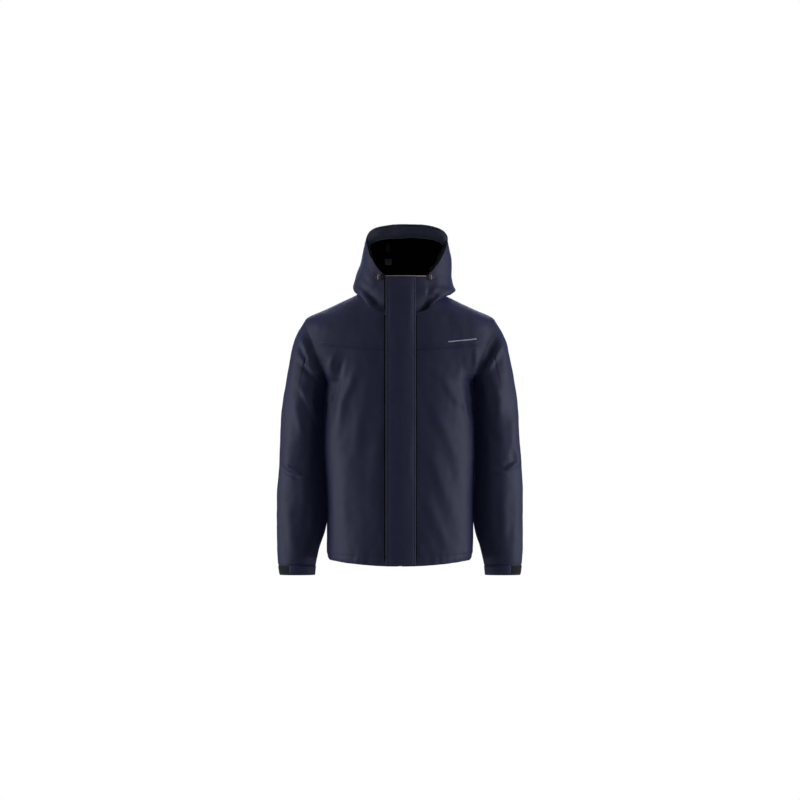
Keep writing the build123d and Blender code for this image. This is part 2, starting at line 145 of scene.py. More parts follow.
def node(tree, kind, settings=None, links=None):
    """Adds a node. settings name its properties or inputs; links name an input's source."""
    made = tree.nodes.new(kind)
    for key, value in (settings or {}).items():
        if isinstance(key, int) or key in made.inputs:
            made.inputs[key].default_value = value
        else:
            setattr(made, key, value)
    for key, source in (links or {}).items():
        tree.links.new(source, made.inputs[key])
    return made


def surface(name, shader):
    """A new material whose Principled shader takes fixed values: (material, tree, shader)."""
    material = bpy.data.materials.new(name)
    material.use_nodes = True
    tree = material.node_tree
    bsdf = tree.nodes["Principled BSDF"]
    for key, value in shader.items():
        bsdf.inputs[key].default_value = value
    return material, tree, bsdf


def two_shades(tree, bsdf, field, dark, light, low=0.0, high=1.0):
    """Base colour that drifts between two shades with a noise field."""
    ramp = node(tree, "ShaderNodeValToRGB", {}, {"Fac": field.outputs["Fac"]})
    for stop, place, colour in zip(ramp.color_ramp.elements, (low, high), (dark, light)):
        stop.position = place
        stop.color = linear(colour)
    tree.links.new(ramp.outputs["Color"], bsdf.inputs["Base Color"])


THREAD_MM = 1.6  # real yarns are about 0.25 mm; drawn coarser so that the weave shows
BAND_METRES = 0.314  # spacing of a wave texture's bands at scale 1


def cloth(
    name, dark, light, rough, sheen, weave=0.12, crumple=0.35, sheen_tint="#8e96bb", gloss=0.2
):
    """Woven synthetic cloth: two close shades that drift, a soft sheen, a plain weave and small
    crumples in its bump."""
    shader = {"Roughness": rough, "Sheen Weight": sheen, "Sheen Roughness": 0.45}
    shader.update({"Sheen Tint": linear(sheen_tint), "Specular IOR Level": gloss})
    material, tree, bsdf = surface(name, shader)
    spot = {"Vector": node(tree, "ShaderNodeTexCoord").outputs["Object"]}
    clouds = {"Scale": 14.0, "Detail": 4.0, "Roughness": 0.6}
    drift = node(tree, "ShaderNodeTexNoise", clouds, spot)
    two_shades(tree, bsdf, drift, dark, light, 0.3, 0.72)
    threads = []
    for direction in ("X", "Z"):
        bands = {"bands_direction": direction, "Distortion": 0.6}
        bands["Scale"] = BAND_METRES / (THREAD_MM * MM) / 2
        threads.append(node(tree, "ShaderNodeTexWave", bands, spot).outputs["Fac"])
    woven = node(tree, "ShaderNodeMath", {"operation": "MULTIPLY"}, dict(enumerate(threads)))
    creases = {"Scale": 55.0, "Detail": 5.0, "Roughness": 0.55, "Distortion": 0.4}
    small = node(tree, "ShaderNodeTexNoise", creases, spot)
    first = node(
        tree,
        "ShaderNodeBump",
        {"Strength": crumple, "Distance": 0.0016},
        {"Height": small.outputs["Fac"]},
    )
    second = node(
        tree,
        "ShaderNodeBump",
        {"Strength": weave, "Distance": 0.0003},
        {"Height": woven.outputs[0], "Normal": first.outputs["Normal"]},
    )
    tree.links.new(second.outputs["Normal"], bsdf.inputs["Normal"])
    return material


def moulded(name, dark, light, rough, metallic=0.0, grain=300.0, bump=0.15):
    """Moulded plastic or lacquered metal: a slight drift of shade, fine grain, worn gloss."""
    material, tree, bsdf = surface(name, {"Metallic": metallic})
    spot = {"Vector": node(tree, "ShaderNodeTexCoord").outputs["Object"]}
    spots = node(tree, "ShaderNodeTexNoise", {"Scale": grain, "Detail": 3.0}, spot)
    two_shades(tree, bsdf, spots, dark, light)
    worn = {"To Min": rough - 0.08, "To Max": rough + 0.1}
    wear = node(tree, "ShaderNodeMapRange", worn, {"Value": spots.outputs["Fac"]})
    tree.links.new(wear.outputs[0], bsdf.inputs["Roughness"])
    grains = {"Strength": bump, "Distance": 0.0002}
    lumps = node(tree, "ShaderNodeBump", grains, {"Height": spots.outputs["Fac"]})
    tree.links.new(lumps.outputs["Normal"], bsdf.inputs["Normal"])
    return material


MATERIALS = {
    # coated nylon: dense plain weave with a dull face, so it glows softly where it turns away
    "shell_cloth": cloth(
        "coated_nylon_navy", "#10142a", "#151932", 0.66, 0.14, sheen_tint="#6c78c4"
    ),
    # brushed polyester mesh: takes light in and gives little back
    "lining_mesh": cloth(
        "polyester_lining_black", "#050608", "#090a0d", 0.9, 0.02, crumple=0.6, gloss=0.05
    ),
    # the shell cloth turned to the inside, coloured darker than the shell: painted shade
    "facing_cloth": cloth("nylon_facing_navy_painted_shade", "#0b0f1f", "#101526", 0.7, 0.08),
    # bias tape of dull cotton blend
    "binding_tape": cloth("binding_tape_taupe", "#6b5d58", "#80706a", 0.8, 0.2, weave=0.3),
    # nylon hook and loop: dense fuzz, nearly black
    "hook_loop": cloth("hook_and_loop_black", "#0a0a0b", "#111113", 0.95, 0.12, 0.4, 0.9),
    "zip_tape": cloth("polyester_zip_tape", "#15182a", "#1c2034", 0.75, 0.2, weave=0.4),
    # acetal: smooth moulded teeth with a waxy gloss
    "zip_plastic": moulded("moulded_acetal_black", "#0f1016", "#1a1b22", 0.36),
    # lacquered zinc casting
    "slider_metal": moulded("lacquered_zinc_black", "#121317", "#1e1f25", 0.3, metallic=0.6),
    "cord": cloth("braided_cord_dark", "#2c2a2b", "#3a3736", 0.75, 0.3, 0.5, 0.3),
    # moulded nylon with a fine spark-eroded grain
    "lock_plastic": moulded("moulded_nylon_taupe", "#241f1c", "#302a26", 0.5),
    "eyelet_metal": moulded("lacquered_brass_black", "#0c0c0e", "#18181c", 0.34, metallic=0.7),
    # drawn spring wire, bright
    "spring_steel": moulded("drawn_spring_steel", "#9c9ea2", "#c4c6ca", 0.28, metallic=1.0),
    # glass-bead transfer film: pale grey with a faint glow
    "reflective": moulded("glass_bead_film", "#6c6f7a", "#83868f", 0.45, grain=900.0),
    "label_cloth": cloth("woven_label_grey", "#4b4d56", "#5b5d66", 0.8, 0.2, weave=0.4),
    "thread": cloth("polyester_thread_navy", "#0d1020", "#141828", 0.75, 0.1, 0.1, 0.1),
    "floor": moulded("pale_studio_floor", "#e9e9e8", "#efefee", 0.7, grain=6.0, bump=0.02),
}


# ---------------------------------------------------------------- curves and surfaces
def smooth_through(points, where):
    """Monotone cubic through (place, value...) rows; no overshoot between rows."""
    table = np.array(points, float)
    x, y = table[:, 0], table[:, 1:]
    where = np.clip(np.asarray(where, float), x[0], x[-1])
    h = np.diff(x)[:, None]
    slope = np.diff(y, axis=0) / h
    tangent = np.zeros_like(y)
    same = slope[:-1] * slope[1:] > 0
    w1 = 2 * h[1:] + h[:-1]
    w2 = h[1:] + 2 * h[:-1]
    with np.errstate(divide="ignore", invalid="ignore"):
        middle = (w1 + w2) / (w1 / slope[:-1] + w2 / slope[1:])
    tangent[1:-1] = np.where(same, middle, 0)
    tangent[0] = slope[0]
    tangent[-1] = slope[-1]
    i = np.clip(np.searchsorted(x, where) - 1, 0, len(x) - 2)
    t = ((where - x[i]) / (x[i + 1] - x[i]))[..., None]
    d = (x[i + 1] - x[i])[..., None]
    return (
        (2 * t**3 - 3 * t**2 + 1) * y[i]
        + (t**3 - 2 * t**2 + t) * d * tangent[i]
        + (3 * t**2 - 2 * t**3) * y[i + 1]
        + (t**3 - t**2) * d * tangent[i + 1]
    )


def ease(t):
    t = np.clip(t, 0, 1)
    return t * t * (3 - 2 * t)


def normals_of(grid, outward_from):
    """Unit normals of a grid of points, turned away from a middle line (x, y)."""
    along = np.gradient(grid, axis=0)
    across = np.gradient(grid, axis=1)
    normal = np.cross(across, along)
    length = np.linalg.norm(normal, axis=2, keepdims=True)
    normal = normal / np.maximum(length, 1e-9)
    away = grid[..., :2] - np.array(outward_from)
    if np.sum(away * normal[..., :2]) < 0:
        normal = -normal
    return normal


def fold_field(grid, folds):
    """Height of the laid folds at each point, from their lines in the front view (x, z).

    A fold is (line, height, width, lean): lean 0 is a round ridge, 1 a ridge with a hollow
    beside it. Heights below zero press in.
    """
    flat = grid[..., [0, 2]]
    total = np.zeros(flat.shape[:2])
    for line, height, width, lean in folds:
        line = np.array(line, float)
        legs = np.diff(line, axis=0)
        lengths = np.linalg.norm(legs, axis=1)
        starts = np.concatenate([[0], np.cumsum(lengths)])
        best = np.full(flat.shape[:2], 1e9)
        side = np.zeros_like(best)
        place = np.zeros_like(best)
        for k, leg in enumerate(legs):
            rel = flat - line[k]
            t = np.clip((rel @ leg) / lengths[k] ** 2, 0, 1)
            gap = rel - t[..., None] * leg
            d = np.linalg.norm(gap, axis=2)
            nearer = d < best
            best = np.where(nearer, d, best)
            cross = (leg[0] * rel[..., 1] - leg[1] * rel[..., 0]) / lengths[k]
            side = np.where(nearer, cross, side)
            place = np.where(nearer, (starts[k] + t * lengths[k]) / starts[-1], place)
        q = best / width
        ridge = np.exp(-(q**2))
        leaning = np.sign(side) * q * np.exp(-(q**2)) * 2.0
        fade = ease(place / 0.28) * ease((1 - place) / 0.28) * 0.85 + 0.15
        total += height * fade * ((1 - lean) * ridge + lean * leaning)
    return total


def ripple(grid, size, height, seed, stretch=(1, 1, 1)):
    """Gentle uneven cloth surface from seeded noise; size in mm."""
    points = grid.reshape(-1, 3) / size * np.array(stretch) + seed
    values = [noise.noise(Vector(p)) for p in points]
    return height * np.array(values).reshape(grid.shape[:2])


def mesh_from(name, points, faces):
    mesh = bpy.data.meshes.new(name)
    mesh.from_pydata([tuple(p) for p in np.asarray(points) * MM], [], faces)
    mesh.update()
    mesh.polygons.foreach_set("use_smooth", [True] * len(mesh.polygons))
    return placed(name, mesh)


def placed(name, data):
    """A new object in the scene, which holds a mesh, curve, lamp or camera."""
    made = bpy.data.objects.new(name, data)
    bpy.context.scene.collection.objects.link(made)
    return made


def settle(piece):
    """Turns a piece's modifiers into plain mesh."""
    depsgraph = bpy.context.evaluated_depsgraph_get()
    piece.data = bpy.data.meshes.new_from_object(piece.evaluated_get(depsgraph))
    piece.modifiers.clear()


def sheet_from(name, grid, normal, thick, closed=False):
    """Cloth of a thickness under a grid of points: two faces and a rim, one closed mesh."""
    rows, cols = grid.shape[:2]
    outer = grid.reshape(-1, 3)
    inner = (grid - normal * thick).reshape(-1, 3)
    count = rows * cols
    across = np.cross(
        np.gradient(grid, axis=1)[rows // 2, cols // 2],
        np.gradient(grid, axis=0)[rows // 2, cols // 2],
    )
    same_way = across @ normal[rows // 2, cols // 2] > 0
    faces = []
    width = cols if closed else cols - 1
    for r in range(rows - 1):
        for c in range(width):
            d = (c + 1) % cols
            quad = [r * cols + c, r * cols + d, (r + 1) * cols + d, (r + 1) * cols + c]
            quad = quad if same_way else quad[::-1]
            faces.append(quad)
            faces.append([v + count for v in quad[::-1]])
    rim = []
    for c in range(width):
        rim.append((c, (c + 1) % cols))
        rim.append(((rows - 1) * cols + (c + 1) % cols, (rows - 1) * cols + c))
    if not closed:
        for r in range(rows - 1):
            rim.append(((r + 1) * cols, r * cols))
            rim.append((r * cols + cols - 1, (r + 1) * cols + cols - 1))
    for a, b in rim:
        quad = [b, a, a + count, b + count]
        faces.append(quad if same_way else quad[::-1])
    return mesh_from(name, np.vstack([outer, inner]), faces)


def finish_piece(piece, slot, nodes=(), rides=None):
    """rides is the body that the piece moves with, or a function that is run on it."""
    piece.data.materials.append(MATERIALS[slot])
    if nodes:
        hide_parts(*nodes)
    attach(piece, rides)
    return piece


def attach(piece, rides):
    if callable(rides):
        rides(piece)
    elif rides:
        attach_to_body(piece, rides)


# ---------------------------------------------------------------- body
# height, half width, back, squareness
BODY_ROWS = [
    (-737, 187, 119, 2.5),
    (-729, 193, 120, 2.5),
    (-714, 196.5, 121, 2.5),
    (-600, 198, 125, 2.6),
    (-500, 202, 128, 2.6),
    (-400, 204, 131, 2.65),
    (-330, 204, 135, 2.75),
    (-285, 202, 138, 2.9),
    (-258, 198, 139, 3.0),
    (-250, 197.5, 139, 3.0),
    (-240, 218, 138, 2.65),
    (-200, 262, 136, 2.2),
    (-165, 288, 134, 2.05),
    (-110, 285, 118, 2.0),
    (-85, 262, 109, 2.0),
    (-55, 197, 104, 2.0),
    (-25, 133, 100, 2.0),
    (0, 82, 96, 2.0),
]
ARMPIT = np.array([196.6, -250.0])
SHOULDER_TIP = np.array([257.0, -85.0])
ZIP_HALF_GAP = 6.0
# where the neck seam cuts each level of the body: height, turn from the front in degrees
NECK_SEAM = [
    (-66, 1.7),
    (-65, 10),
    (-59, 19),
    (-48, 26),
    (-35, 36),
    (-22, 54),
    (-13.5, 90),
    (-8, 118),
    (-4, 140),
    (-1, 166),
    (0, 178),
]
# height of each yoke seam at the middle and its rise per mm outward
YOKES = {"front": (-167.0, 0.088), "back": (-190.0, 0.0)}


def levels(*spans):
    """Heights with a step that changes from span to span: (from, to, count, power)."""
    parts = []
    for low, high, count, power in spans:
        t = np.linspace(0, 1, count, endpoint=False) ** power
        parts.append(low + (high - low) * t)
    return np.concatenate(parts + [[spans[-1][1]]])


BODY_LEVELS = levels(
    (HEM_Z, -262, 125, 1),
    (-262, -250, 5, 1),
    (-250, -238, 12, 2.0),
    (-238, -194, 12, 1),
    (-194, -186, 5, 1),
    (-186, -171, 5, 1),
    (-171, -146, 14, 1),
    (-146, -95, 12, 1),
    (-95, -82, 8, 0.6),
    (-82, -14, 28, 1),
    (-14, -0.4, 12, 1),
)
ARMHOLE_ROWS = [
    i for i, z in enumerate(BODY_LEVELS) if ARMPIT[1] - 0.01 <= z <= SHOULDER_TIP[1] + 2
]


def body_turns(z):
    """Turns (radians from the front) where cloth starts and where it meets side or armhole."""
    half, _, power = smooth_through(BODY_ROWS, z)
    plane_x = ARMPIT[0] + (z - ARMPIT[1]) * (SHOULDER_TIP - ARMPIT)[0] / (SHOULDER_TIP - ARMPIT)[1]
    side = math.pi / 2
    if z > ARMPIT[1]:
        side = math.asin(min(1.0, (min(1.0, plane_x / half)) ** (power / 2)))
    start = math.asin((ZIP_HALF_GAP / half) ** (power / 2))
    if z > NECK_SEAM[0][0]:
        start = math.radians(float(smooth_through(NECK_SEAM, z)[0]))
    return start, side


def body_point(turn, z, sign):
    """Point of the smooth body at a turn from the front, on the side given by sign."""
    half, back, power = smooth_through(BODY_ROWS, z)
    middle = (front_y(z) + back) / 2
    depth = (back - front_y(z)) / 2
    s, c = np.sin(turn), np.cos(turn)
    x = sign * half * np.abs(s) ** (2 / power)
    y = middle - depth * np.sign(c) * np.abs(c) ** (2 / power)
    return np.stack([x, y, np.full_like(x, z)], axis=-1)


FRONT_COLUMNS = 90


def width_at(turn, z):
    half, _, power = smooth_through(BODY_ROWS, z)
    return half * math.sin(turn) ** (2 / power)


def turn_at(width, z):
    half, _, power = smooth_through(BODY_ROWS, z)
    return np.arcsin(np.clip(width / half, 0, 1) ** (power / 2))


def body_grids(sign):
    """Front and back grids of one side, hem to neck, middle to side."""
    front, back = [], []
    share = np.linspace(0, math.pi / 2, FRONT_COLUMNS)
    opening, closing = np.sin(share) ** 0.8, np.cos(share) ** 0.8
    for z in BODY_LEVELS:
        start, side = body_turns(z)
        side_width = width_at(side, z)
        first = width_at(min(start, side), z)
        turns = turn_at(first + (side_width - first) * opening, z)
        front.append(body_point(turns, z, sign))
        rear = max(math.pi - side, start)
        turns = math.pi - turn_at(width_at(rear, z) * closing, z)
        back.append(body_point(turns, z, sign))
    return np.array(front), np.array(back)


# Folds of the body in the front view: line, height, width, lean.
BODY_FOLDS = [
    (((-175, -168), (-190, -208), (-192, -256), (-188, -330)), 4.5, 9, 0.2),
    (((-118, -200), (-136, -252), (-158, -300), (-170, -380)), 4.0, 13, 0.3),
    (((-148, -176), (-164, -228), (-180, -300), (-187, -370)), -4.4, 9, 0.0),
    (((-95, -260), (-120, -370), (-128, -500)), 1.8, 20, 0.4),
    (((-60, -330), (-78, -480), (-70, -640)), 1.4, 22, 0.5),
    (((-150, -420), (-160, -540), (-150, -660)), 2.0, 18, 0.4),
    (((200, -150), (202, -215), (200, -300)), 3.6, 8, 0.2),
    (((168, -196), (181, -250), (187, -310), (190, -370)), -4.0, 9, 0.0),
    (((70, -300), (120, -400), (160, -520)), 2.0, 20, 0.5),
    (((62, -420), (110, -540), (150, -650)), 2.2, 22, 0.5),
    (((60, -560), (96, -640), (130, -712)), 1.6, 16, 0.4),
    (((165, -300), (178, -330), (186, -372)), 2.4, 9, 0.5),
    (((100, -230), (140, -290), (176, -330)), 1.8, 14, 0.4),
    (((-112, -716), (-118, -726), (-124, -733)), 1.8, 6, 0.3),
    (((176, -690), (172, -706), (178, -722)), 1.8, 7, 0.3),
    (((-190, -80), (-150, -66), (-112, -40)), 1.4, 14, 0.4),
    (((186, -76), (150, -62), (120, -36)), 1.6, 13, 0.4),
]
BACK_FOLDS = [
    (((-180, -190), (-150, -260), (-100, -330)), 4.0, 14, 0.3),
    (((180, -190), (150, -260), (104, -340)), 4.0, 14, 0.3),
    (((-120, -360), (-60, -460), (0, -520)), 2.4, 22, 0.4),
    (((130, -380), (70, -480), (10, -560)), 2.4, 22, 0.4),
    (((-150, -520), (-110, -620), (-90, -715)), 2.6, 20, 0.4),
    (((150, -520), (100, -630), (80, -715)), 2.6, 20, 0.4),
    (((0, -250), (6, -420), (0, -700)), 1.6, 30, 0.4),
]
EDGE_FADE = 12.0
FACING_TOP = -705


def edge_hold(grid, rows=True, columns=True):
    """1 inside, falling to 0 at the grid's edges, so that seams keep their place."""
    hold = np.ones(grid.shape[:2])
    if columns:
        step = np.linalg.norm(np.diff(grid, axis=1), axis=2)
        run = np.concatenate([np.zeros((grid.shape[0], 1)), np.cumsum(step, axis=1)], axis=1)
        hold *= ease(run / EDGE_FADE) * ease((run[:, -1:] - run) / EDGE_FADE)
    if rows:
        step = np.linalg.norm(np.diff(grid, axis=0), axis=2)
        run = np.concatenate([np.zeros((1, grid.shape[1])), np.cumsum(step, axis=0)])
        hold *= ease(run / EDGE_FADE) * ease((run[-1:, :] - run) / EDGE_FADE)
    return hold


def lap_seam(z, seam_z, drop=1.0):
    """Height of the cloth either side of a lapped seam: proud above, stepping in below."""
    step = drop * ease((z - seam_z + 1.0) / 2.0) - drop * 0.5
    return step - 1.3 * np.exp(-(((z - seam_z + 1.8) / 1.9) ** 2))


SHELL_THICK = 1.2
LINING_GAP = 1.2
LINING_THICK = 0.6
HEM_FOLD = 22  # height of the hem's stitch row over its edge
FOLD_GAIN = 1.35
SURFACES = {}


def hem_line(grid):
    """The hem hangs lowest at the middle and rises in an even curve to the sides."""
    share = np.minimum((grid[..., 0] / 186) ** 2, 1.1)
    drop = -742 + 14 * share - HEM_Z
    grid[..., 2] += drop * ease((-610 - grid[..., 2]) / 120)
    return grid


def flank_out(grid):
    """The right flank stands out above the waist and the sleeve beside it gives way."""
    tall = np.exp(-(((grid[..., 2] + 405) / 95) ** 2))
    near = ease((-grid[..., 0] - 110) / 80) * (1 - ease((-grid[..., 0] - 215) / 60))
    grid[..., 0] -= 5.5 * tall * near
    return grid


def yoke_line(x, base, rise):
    return base + rise * np.abs(x)


def body_surfaces():
    for side, sign in (("left", 1), ("right", -1)):
        for name, grid, folds in zip(
            ("front", "back"), body_grids(sign), (BODY_FOLDS, BACK_FOLDS)
        ):
            grid = flank_out(hem_line(grid))
            normal = normals_of(grid, (0, 0))
            beside_flap = ease((np.abs(grid[..., 0] - 2) - 40) / 22)
            under_flap = 1 - 0.85 * (1 - beside_flap) * (name == "front")
            raised = FOLD_GAIN * fold_field(grid, folds) * under_flap
            seam_z = yoke_line(grid[..., 0], *YOKES[name])
            raised += ripple(grid, 60, 2.2, 3.1 * sign, (1, 1, 0.5)) * under_flap
            raised += ripple(grid, 22, 0.7, 9.7 * sign, (1, 1, 0.7))
            raised = raised * edge_hold(grid) + 1.5 * lap_seam(grid[..., 2], seam_z)
            above_hem = grid[..., 2] - HEM_Z
            hem_roll = -2.2 * np.exp(-(((above_hem - HEM_FOLD) / 4) ** 2))
            pucker = ripple(grid, 16, 1.6, 5.5 * sign, (1, 1, 0.15))
            near_hem = np.exp(-((above_hem / 26) ** 2))
            grid = grid + normal * (raised + 0.5 * hem_roll + pucker * near_hem)[..., None]
            SURFACES[f"body_{name}_{side}"] = grid


def lined(name, grid, normal, split, slots, nodes, rides, closed=False):
    """Lining and hem or cuff facing behind a cloth, which meet at the split row."""
    inside = grid - normal * (SHELL_THICK + LINING_GAP)
    for label, rows, slot, cad_node in zip(name, split, slots, nodes):
        piece = sheet_from(label, inside[rows], normal[rows], LINING_THICK, closed)
        finish_piece(piece, slot, [cad_node], rides)


def make_body():
    left, right = (SURFACES[f"body_back_{side}"] for side in ("left", "right"))
    back = np.concatenate([left, right[:, -2::-1]], axis=1)
    for name, grid, cad_nodes in (
        ("front_left", SURFACES["body_front_left"], ["front_panel_left", "front_yoke_left"]),
        ("front_right", SURFACES["body_front_right"], ["front_panel_right", "front_yoke_right"]),
        ("back", back, ["back_panel", "back_yoke"]),
    ):
        normal = normals_of(grid, (0, 0))
        SURFACES[name] = (grid, normal)
        piece = sheet_from(f"{name}_cloth", grid, normal, SHELL_THICK)
        finish_piece(piece, "shell_cloth", cad_nodes, "torso")
        split = int(np.searchsorted(grid[:, 40, 2], FACING_TOP))
        lined(
            (f"{name}_lining", f"{name}_hem"),
            grid,
            normal,
            (slice(split, None), slice(split + 1)),
            ("lining_mesh", "facing_cloth"),
            ("body_lining", "hem_facing"),
            "torso",
        )


# ---------------------------------------------------------------- sleeves
# inner point, outer point (x, z), half depth, middle (y)
SLEEVE_ROWS = [
    ((196.6, -250), (257, -85), 79, 0),
    ((195.5, -256), (289, -157), 80, -2),
    ((196, -262), (300, -210), 80, -4),
    ((197, -268), (309, -264), 79, -5),
    ((199.5, -302), (315, -302), 77, -6),
    ((201.5, -363), (320.5, -363), 73, -8),
    ((201.5, -433), (324, -433), 68, -10),
    ((199.5, -500), (328, -500), 64, -13),
    ((197, -567), (331, -567), 60, -16),
    ((196.5, -620), (332, -620), 57, -18),
    ((216.5, -700), (330.5, -700), 51, -21),
    ((224.6, -741), (327.6, -741), 46, -22),
    ((227.5, -768), (324, -768), 43, -23),
]
SLEEVE_STEPS = 190
LINING_SHARE = 0.955  # of the sleeve's length, with the cuff facing below
CUFF_GROOVE_Z = -741
CUFF_STITCH_Z = -737
RING_BLEND = 0.24
LEFT_SLEEVE_FOLDS = [
    (((262, -118), (240, -170), (214, -232)), -6.0, 8, 0.1),
    (((276, -140), (254, -180), (218, -236)), 5.5, 9, 0.2),
    (((250, -255), (262, -300), (255, -350)), 3.5, 16, 0.2),
    (((300, -250), (305, -330), (296, -400)), 2.0, 14, 0.4),
    (((304, -416), (310, -462), (280, -486), (238, -488)), 3.6, 9, 0.8),
    (((300, -330), (298, -400), (292, -450)), 3.4, 12, 0.3),
    (((232, -300), (238, -380), (262, -430)), -3.5, 14, 0.2),
    (((270, -520), (268, -600), (278, -690)), 1.8, 16, 0.5),
    (((312, -540), (306, -620), (300, -700)), 1.6, 14, 0.5),
]
RIGHT_SLEEVE_FOLDS = [
    (((-272, -128), (-255, -164), (-236, -216)), 6.5, 9, 0.45),
    (((-278, -174), (-250, -209), (-210, -246)), 5.5, 10, 0.25),
    (((-262, -200), (-236, -236), (-214, -262)), -4.0, 8, 0.0),
    (((-274, -258), (-247, -306), (-217, -374)), 5.0, 10, 0.45),
    (((-290, -300), (-276, -350), (-262, -400)), 2.4, 12, 0.4),
    (((-316, -470), (-298, -488), (-262, -504)), 4.5, 8, 0.8),
    (((-300, -400), (-306, -440), (-300, -480)), 2.6, 14, 0.2),
    (((-250, -430), (-262, -520), (-258, -600)), 2.0, 15, 0.5),
    (((-306, -560), (-300, -640), (-296, -710)), 1.8, 14, 0.5),
    (((-236, -520), (-240, -600), (-250, -680)), 1.6, 12, 0.5),
]


def armhole_ring(side):
    """The armhole's edge from the body's own cloth, up the front and down the back."""
    up = SURFACES[f"body_front_{side}"][ARMHOLE_ROWS, -1]
    down = SURFACES[f"body_back_{side}"][ARMHOLE_ROWS, 0][::-1]
    return np.vstack([up, down[1:-1]])


def sleeve_grid(side, sign):
    ring = armhole_ring(side).copy()
    ring[:, 0] *= sign
    rows = np.array([[*a, *b, d, m] for a, b, d, m in SLEEVE_ROWS], float)
    middle = (rows[:, 0:2] + rows[:, 2:4]) / 2
    run = np.concatenate([[0], np.cumsum(np.linalg.norm(np.diff(middle, axis=0), axis=1))])
    table = np.column_stack([run / run[-1], rows])
    # the ring in its own plane, as shares of the first section
    first = rows[0]
    centre = np.array([(first[0] + first[2]) / 2, first[5], (first[1] + first[3]) / 2])
    across = np.array([first[2] - first[0], 0, first[3] - first[1]])
    half = np.linalg.norm(across) / 2
    across = across / (2 * half)
    u = (ring - centre) @ across / half
    v = (ring[:, 1] - first[5]) / first[4]
    turn = np.arctan2(v, u)
    grid = []
    for t in np.linspace(0, 1, SLEEVE_STEPS) ** 1.15:
        x0, z0, x1, z1, depth, mid_y = smooth_through(table, t)
        c = np.array([(x0 + x1) / 2, mid_y, (z0 + z1) / 2])
        a = np.array([x1 - x0, 0, z1 - z0]) / 2
        w = float(ease(t / RING_BLEND))
        uu = (1 - w) * u + w * np.cos(turn)
        vv = (1 - w) * v + w * np.sin(turn)
        grid.append(c + uu[:, None] * a + np.outer(vv * depth, [0, 1, 0]))
    grid = np.array(grid)
    grid[..., 0] *= sign
    return flank_out(grid)


def even_columns(grid, hold_rows=34):
    """Spreads a closed grid's columns evenly round each row, easing in below the first rows."""
    rows, cols = grid.shape[:2]
    out = grid.copy()
    for r in range(rows):
        loop = np.vstack([grid[r], grid[r][:1]])
        run = np.concatenate([[0], np.cumsum(np.linalg.norm(np.diff(loop, axis=0), axis=1))])
        even = np.linspace(0, run[-1], cols, endpoint=False)
        w = float(ease(r / hold_rows))
        places = (1 - w) * run[:-1] + w * even
        out[r] = np.stack([np.interp(places, run, loop[:, k]) for k in range(3)], axis=-1)
    return out


def closed_normals(grid):
    wide = np.concatenate([grid[:, -1:], grid, grid[:, :1]], axis=1)
    centre = grid.mean(axis=1, keepdims=True)
    along = np.gradient(wide, axis=0)
    across = np.gradient(wide, axis=1)
    normal = np.cross(across, along)[:, 1:-1]
    normal /= np.maximum(np.linalg.norm(normal, axis=2, keepdims=True), 1e-9)
    if np.sum((grid - centre) * normal) < 0:
        normal = -normal
    return normal


def sleeve_surfaces():
    for side, sign, folds in (
        ("left", 1, LEFT_SLEEVE_FOLDS),
        ("right", -1, RIGHT_SLEEVE_FOLDS),
    ):
        grid = even_columns(sleeve_grid(side, sign))
        normal = closed_normals(grid)
        facing = ease((0.25 - normal[..., 1]) / 0.6)
        raised = FOLD_GAIN * fold_field(grid, folds) * facing
        raised += ripple(grid, 55, 2.6, 4.4 * sign, (1, 1, 0.6))
        raised += ripple(grid, 20, 0.7, 1.3 * sign, (1, 1, 0.8))
        hold = ease(np.arange(len(grid)) / 9)[:, None]
        cuff = np.exp(-(((grid[..., 2] - CUFF_GROOVE_Z) / 2.2) ** 2))
        raised = raised * hold * (1 - 0.8 * ease((-735 - grid[..., 2]) / 12)) - 1.4 * cuff
        SURFACES[f"sleeve_{side}"] = grid + normal * raised[..., None]


SOFTEN_REACH = 34.0
SOFTEN_PASSES = 120
ARMHOLE_LOOSE = 0.34
ARMPIT_REACH = 52


def soften_armholes():
    """Relaxes the cloth over each armhole, where body and sleeve run into each other."""
    for side in ("left", "right"):
        grids = [SURFACES[f"{name}_{side}"] for name in ("body_front", "body_back", "sleeve")]
        ids, count = [], 0
        for grid in grids:
            ids.append(np.arange(grid.shape[0] * grid.shape[1]).reshape(grid.shape[:2]) + count)
            count += ids[-1].size
        joined = np.ones(len(BODY_LEVELS), bool)
        joined[ARMHOLE_ROWS[1:-1]] = False
        ids[1][joined, 0] = ids[0][joined, -1]
        rising, falling = ids[0][ARMHOLE_ROWS, -1], ids[1][ARMHOLE_ROWS, 0][::-1]
        ids[2][0] = np.concatenate([rising, falling[1:-1]])
        spots = np.zeros((count, 3))
        for grid, number in zip(grids, ids):
            spots[number.ravel()] = grid.reshape(-1, 3)
        ends = []
        for grid, number in zip(grids, ids):
            ends.append((number[:-1].ravel(), number[1:].ravel()))
            ends.append((number[:, :-1].ravel(), number[:, 1:].ravel()))
        ends.append((ids[2][:, -1], ids[2][:, 0]))
        a = np.concatenate([e[0] for e in ends])
        b = np.concatenate([e[1] for e in ends])
        degree = np.bincount(np.concatenate([a, b]), minlength=count)[:, None]
        ring = spots[ids[2][0]]
        near = np.full(count, 1e9)
        for spot in ring:
            near = np.minimum(near, np.linalg.norm(spots - spot, axis=1))
        pit = np.linalg.norm((spots - ring[0])[:, [0, 2]], axis=1)
        loose = ARMHOLE_LOOSE * (1 - ease(near / SOFTEN_REACH))
        loose = np.maximum(loose, 1 - ease(pit / ARMPIT_REACH))[:, None]
        for _ in range(SOFTEN_PASSES):
            total = np.zeros_like(spots)
            np.add.at(total, a, spots[b])
            np.add.at(total, b, spots[a])
            spots += 0.6 * loose * (total / np.maximum(degree, 1) - spots)
        for grid, number in zip(grids, ids):
            grid[:] = spots[number]


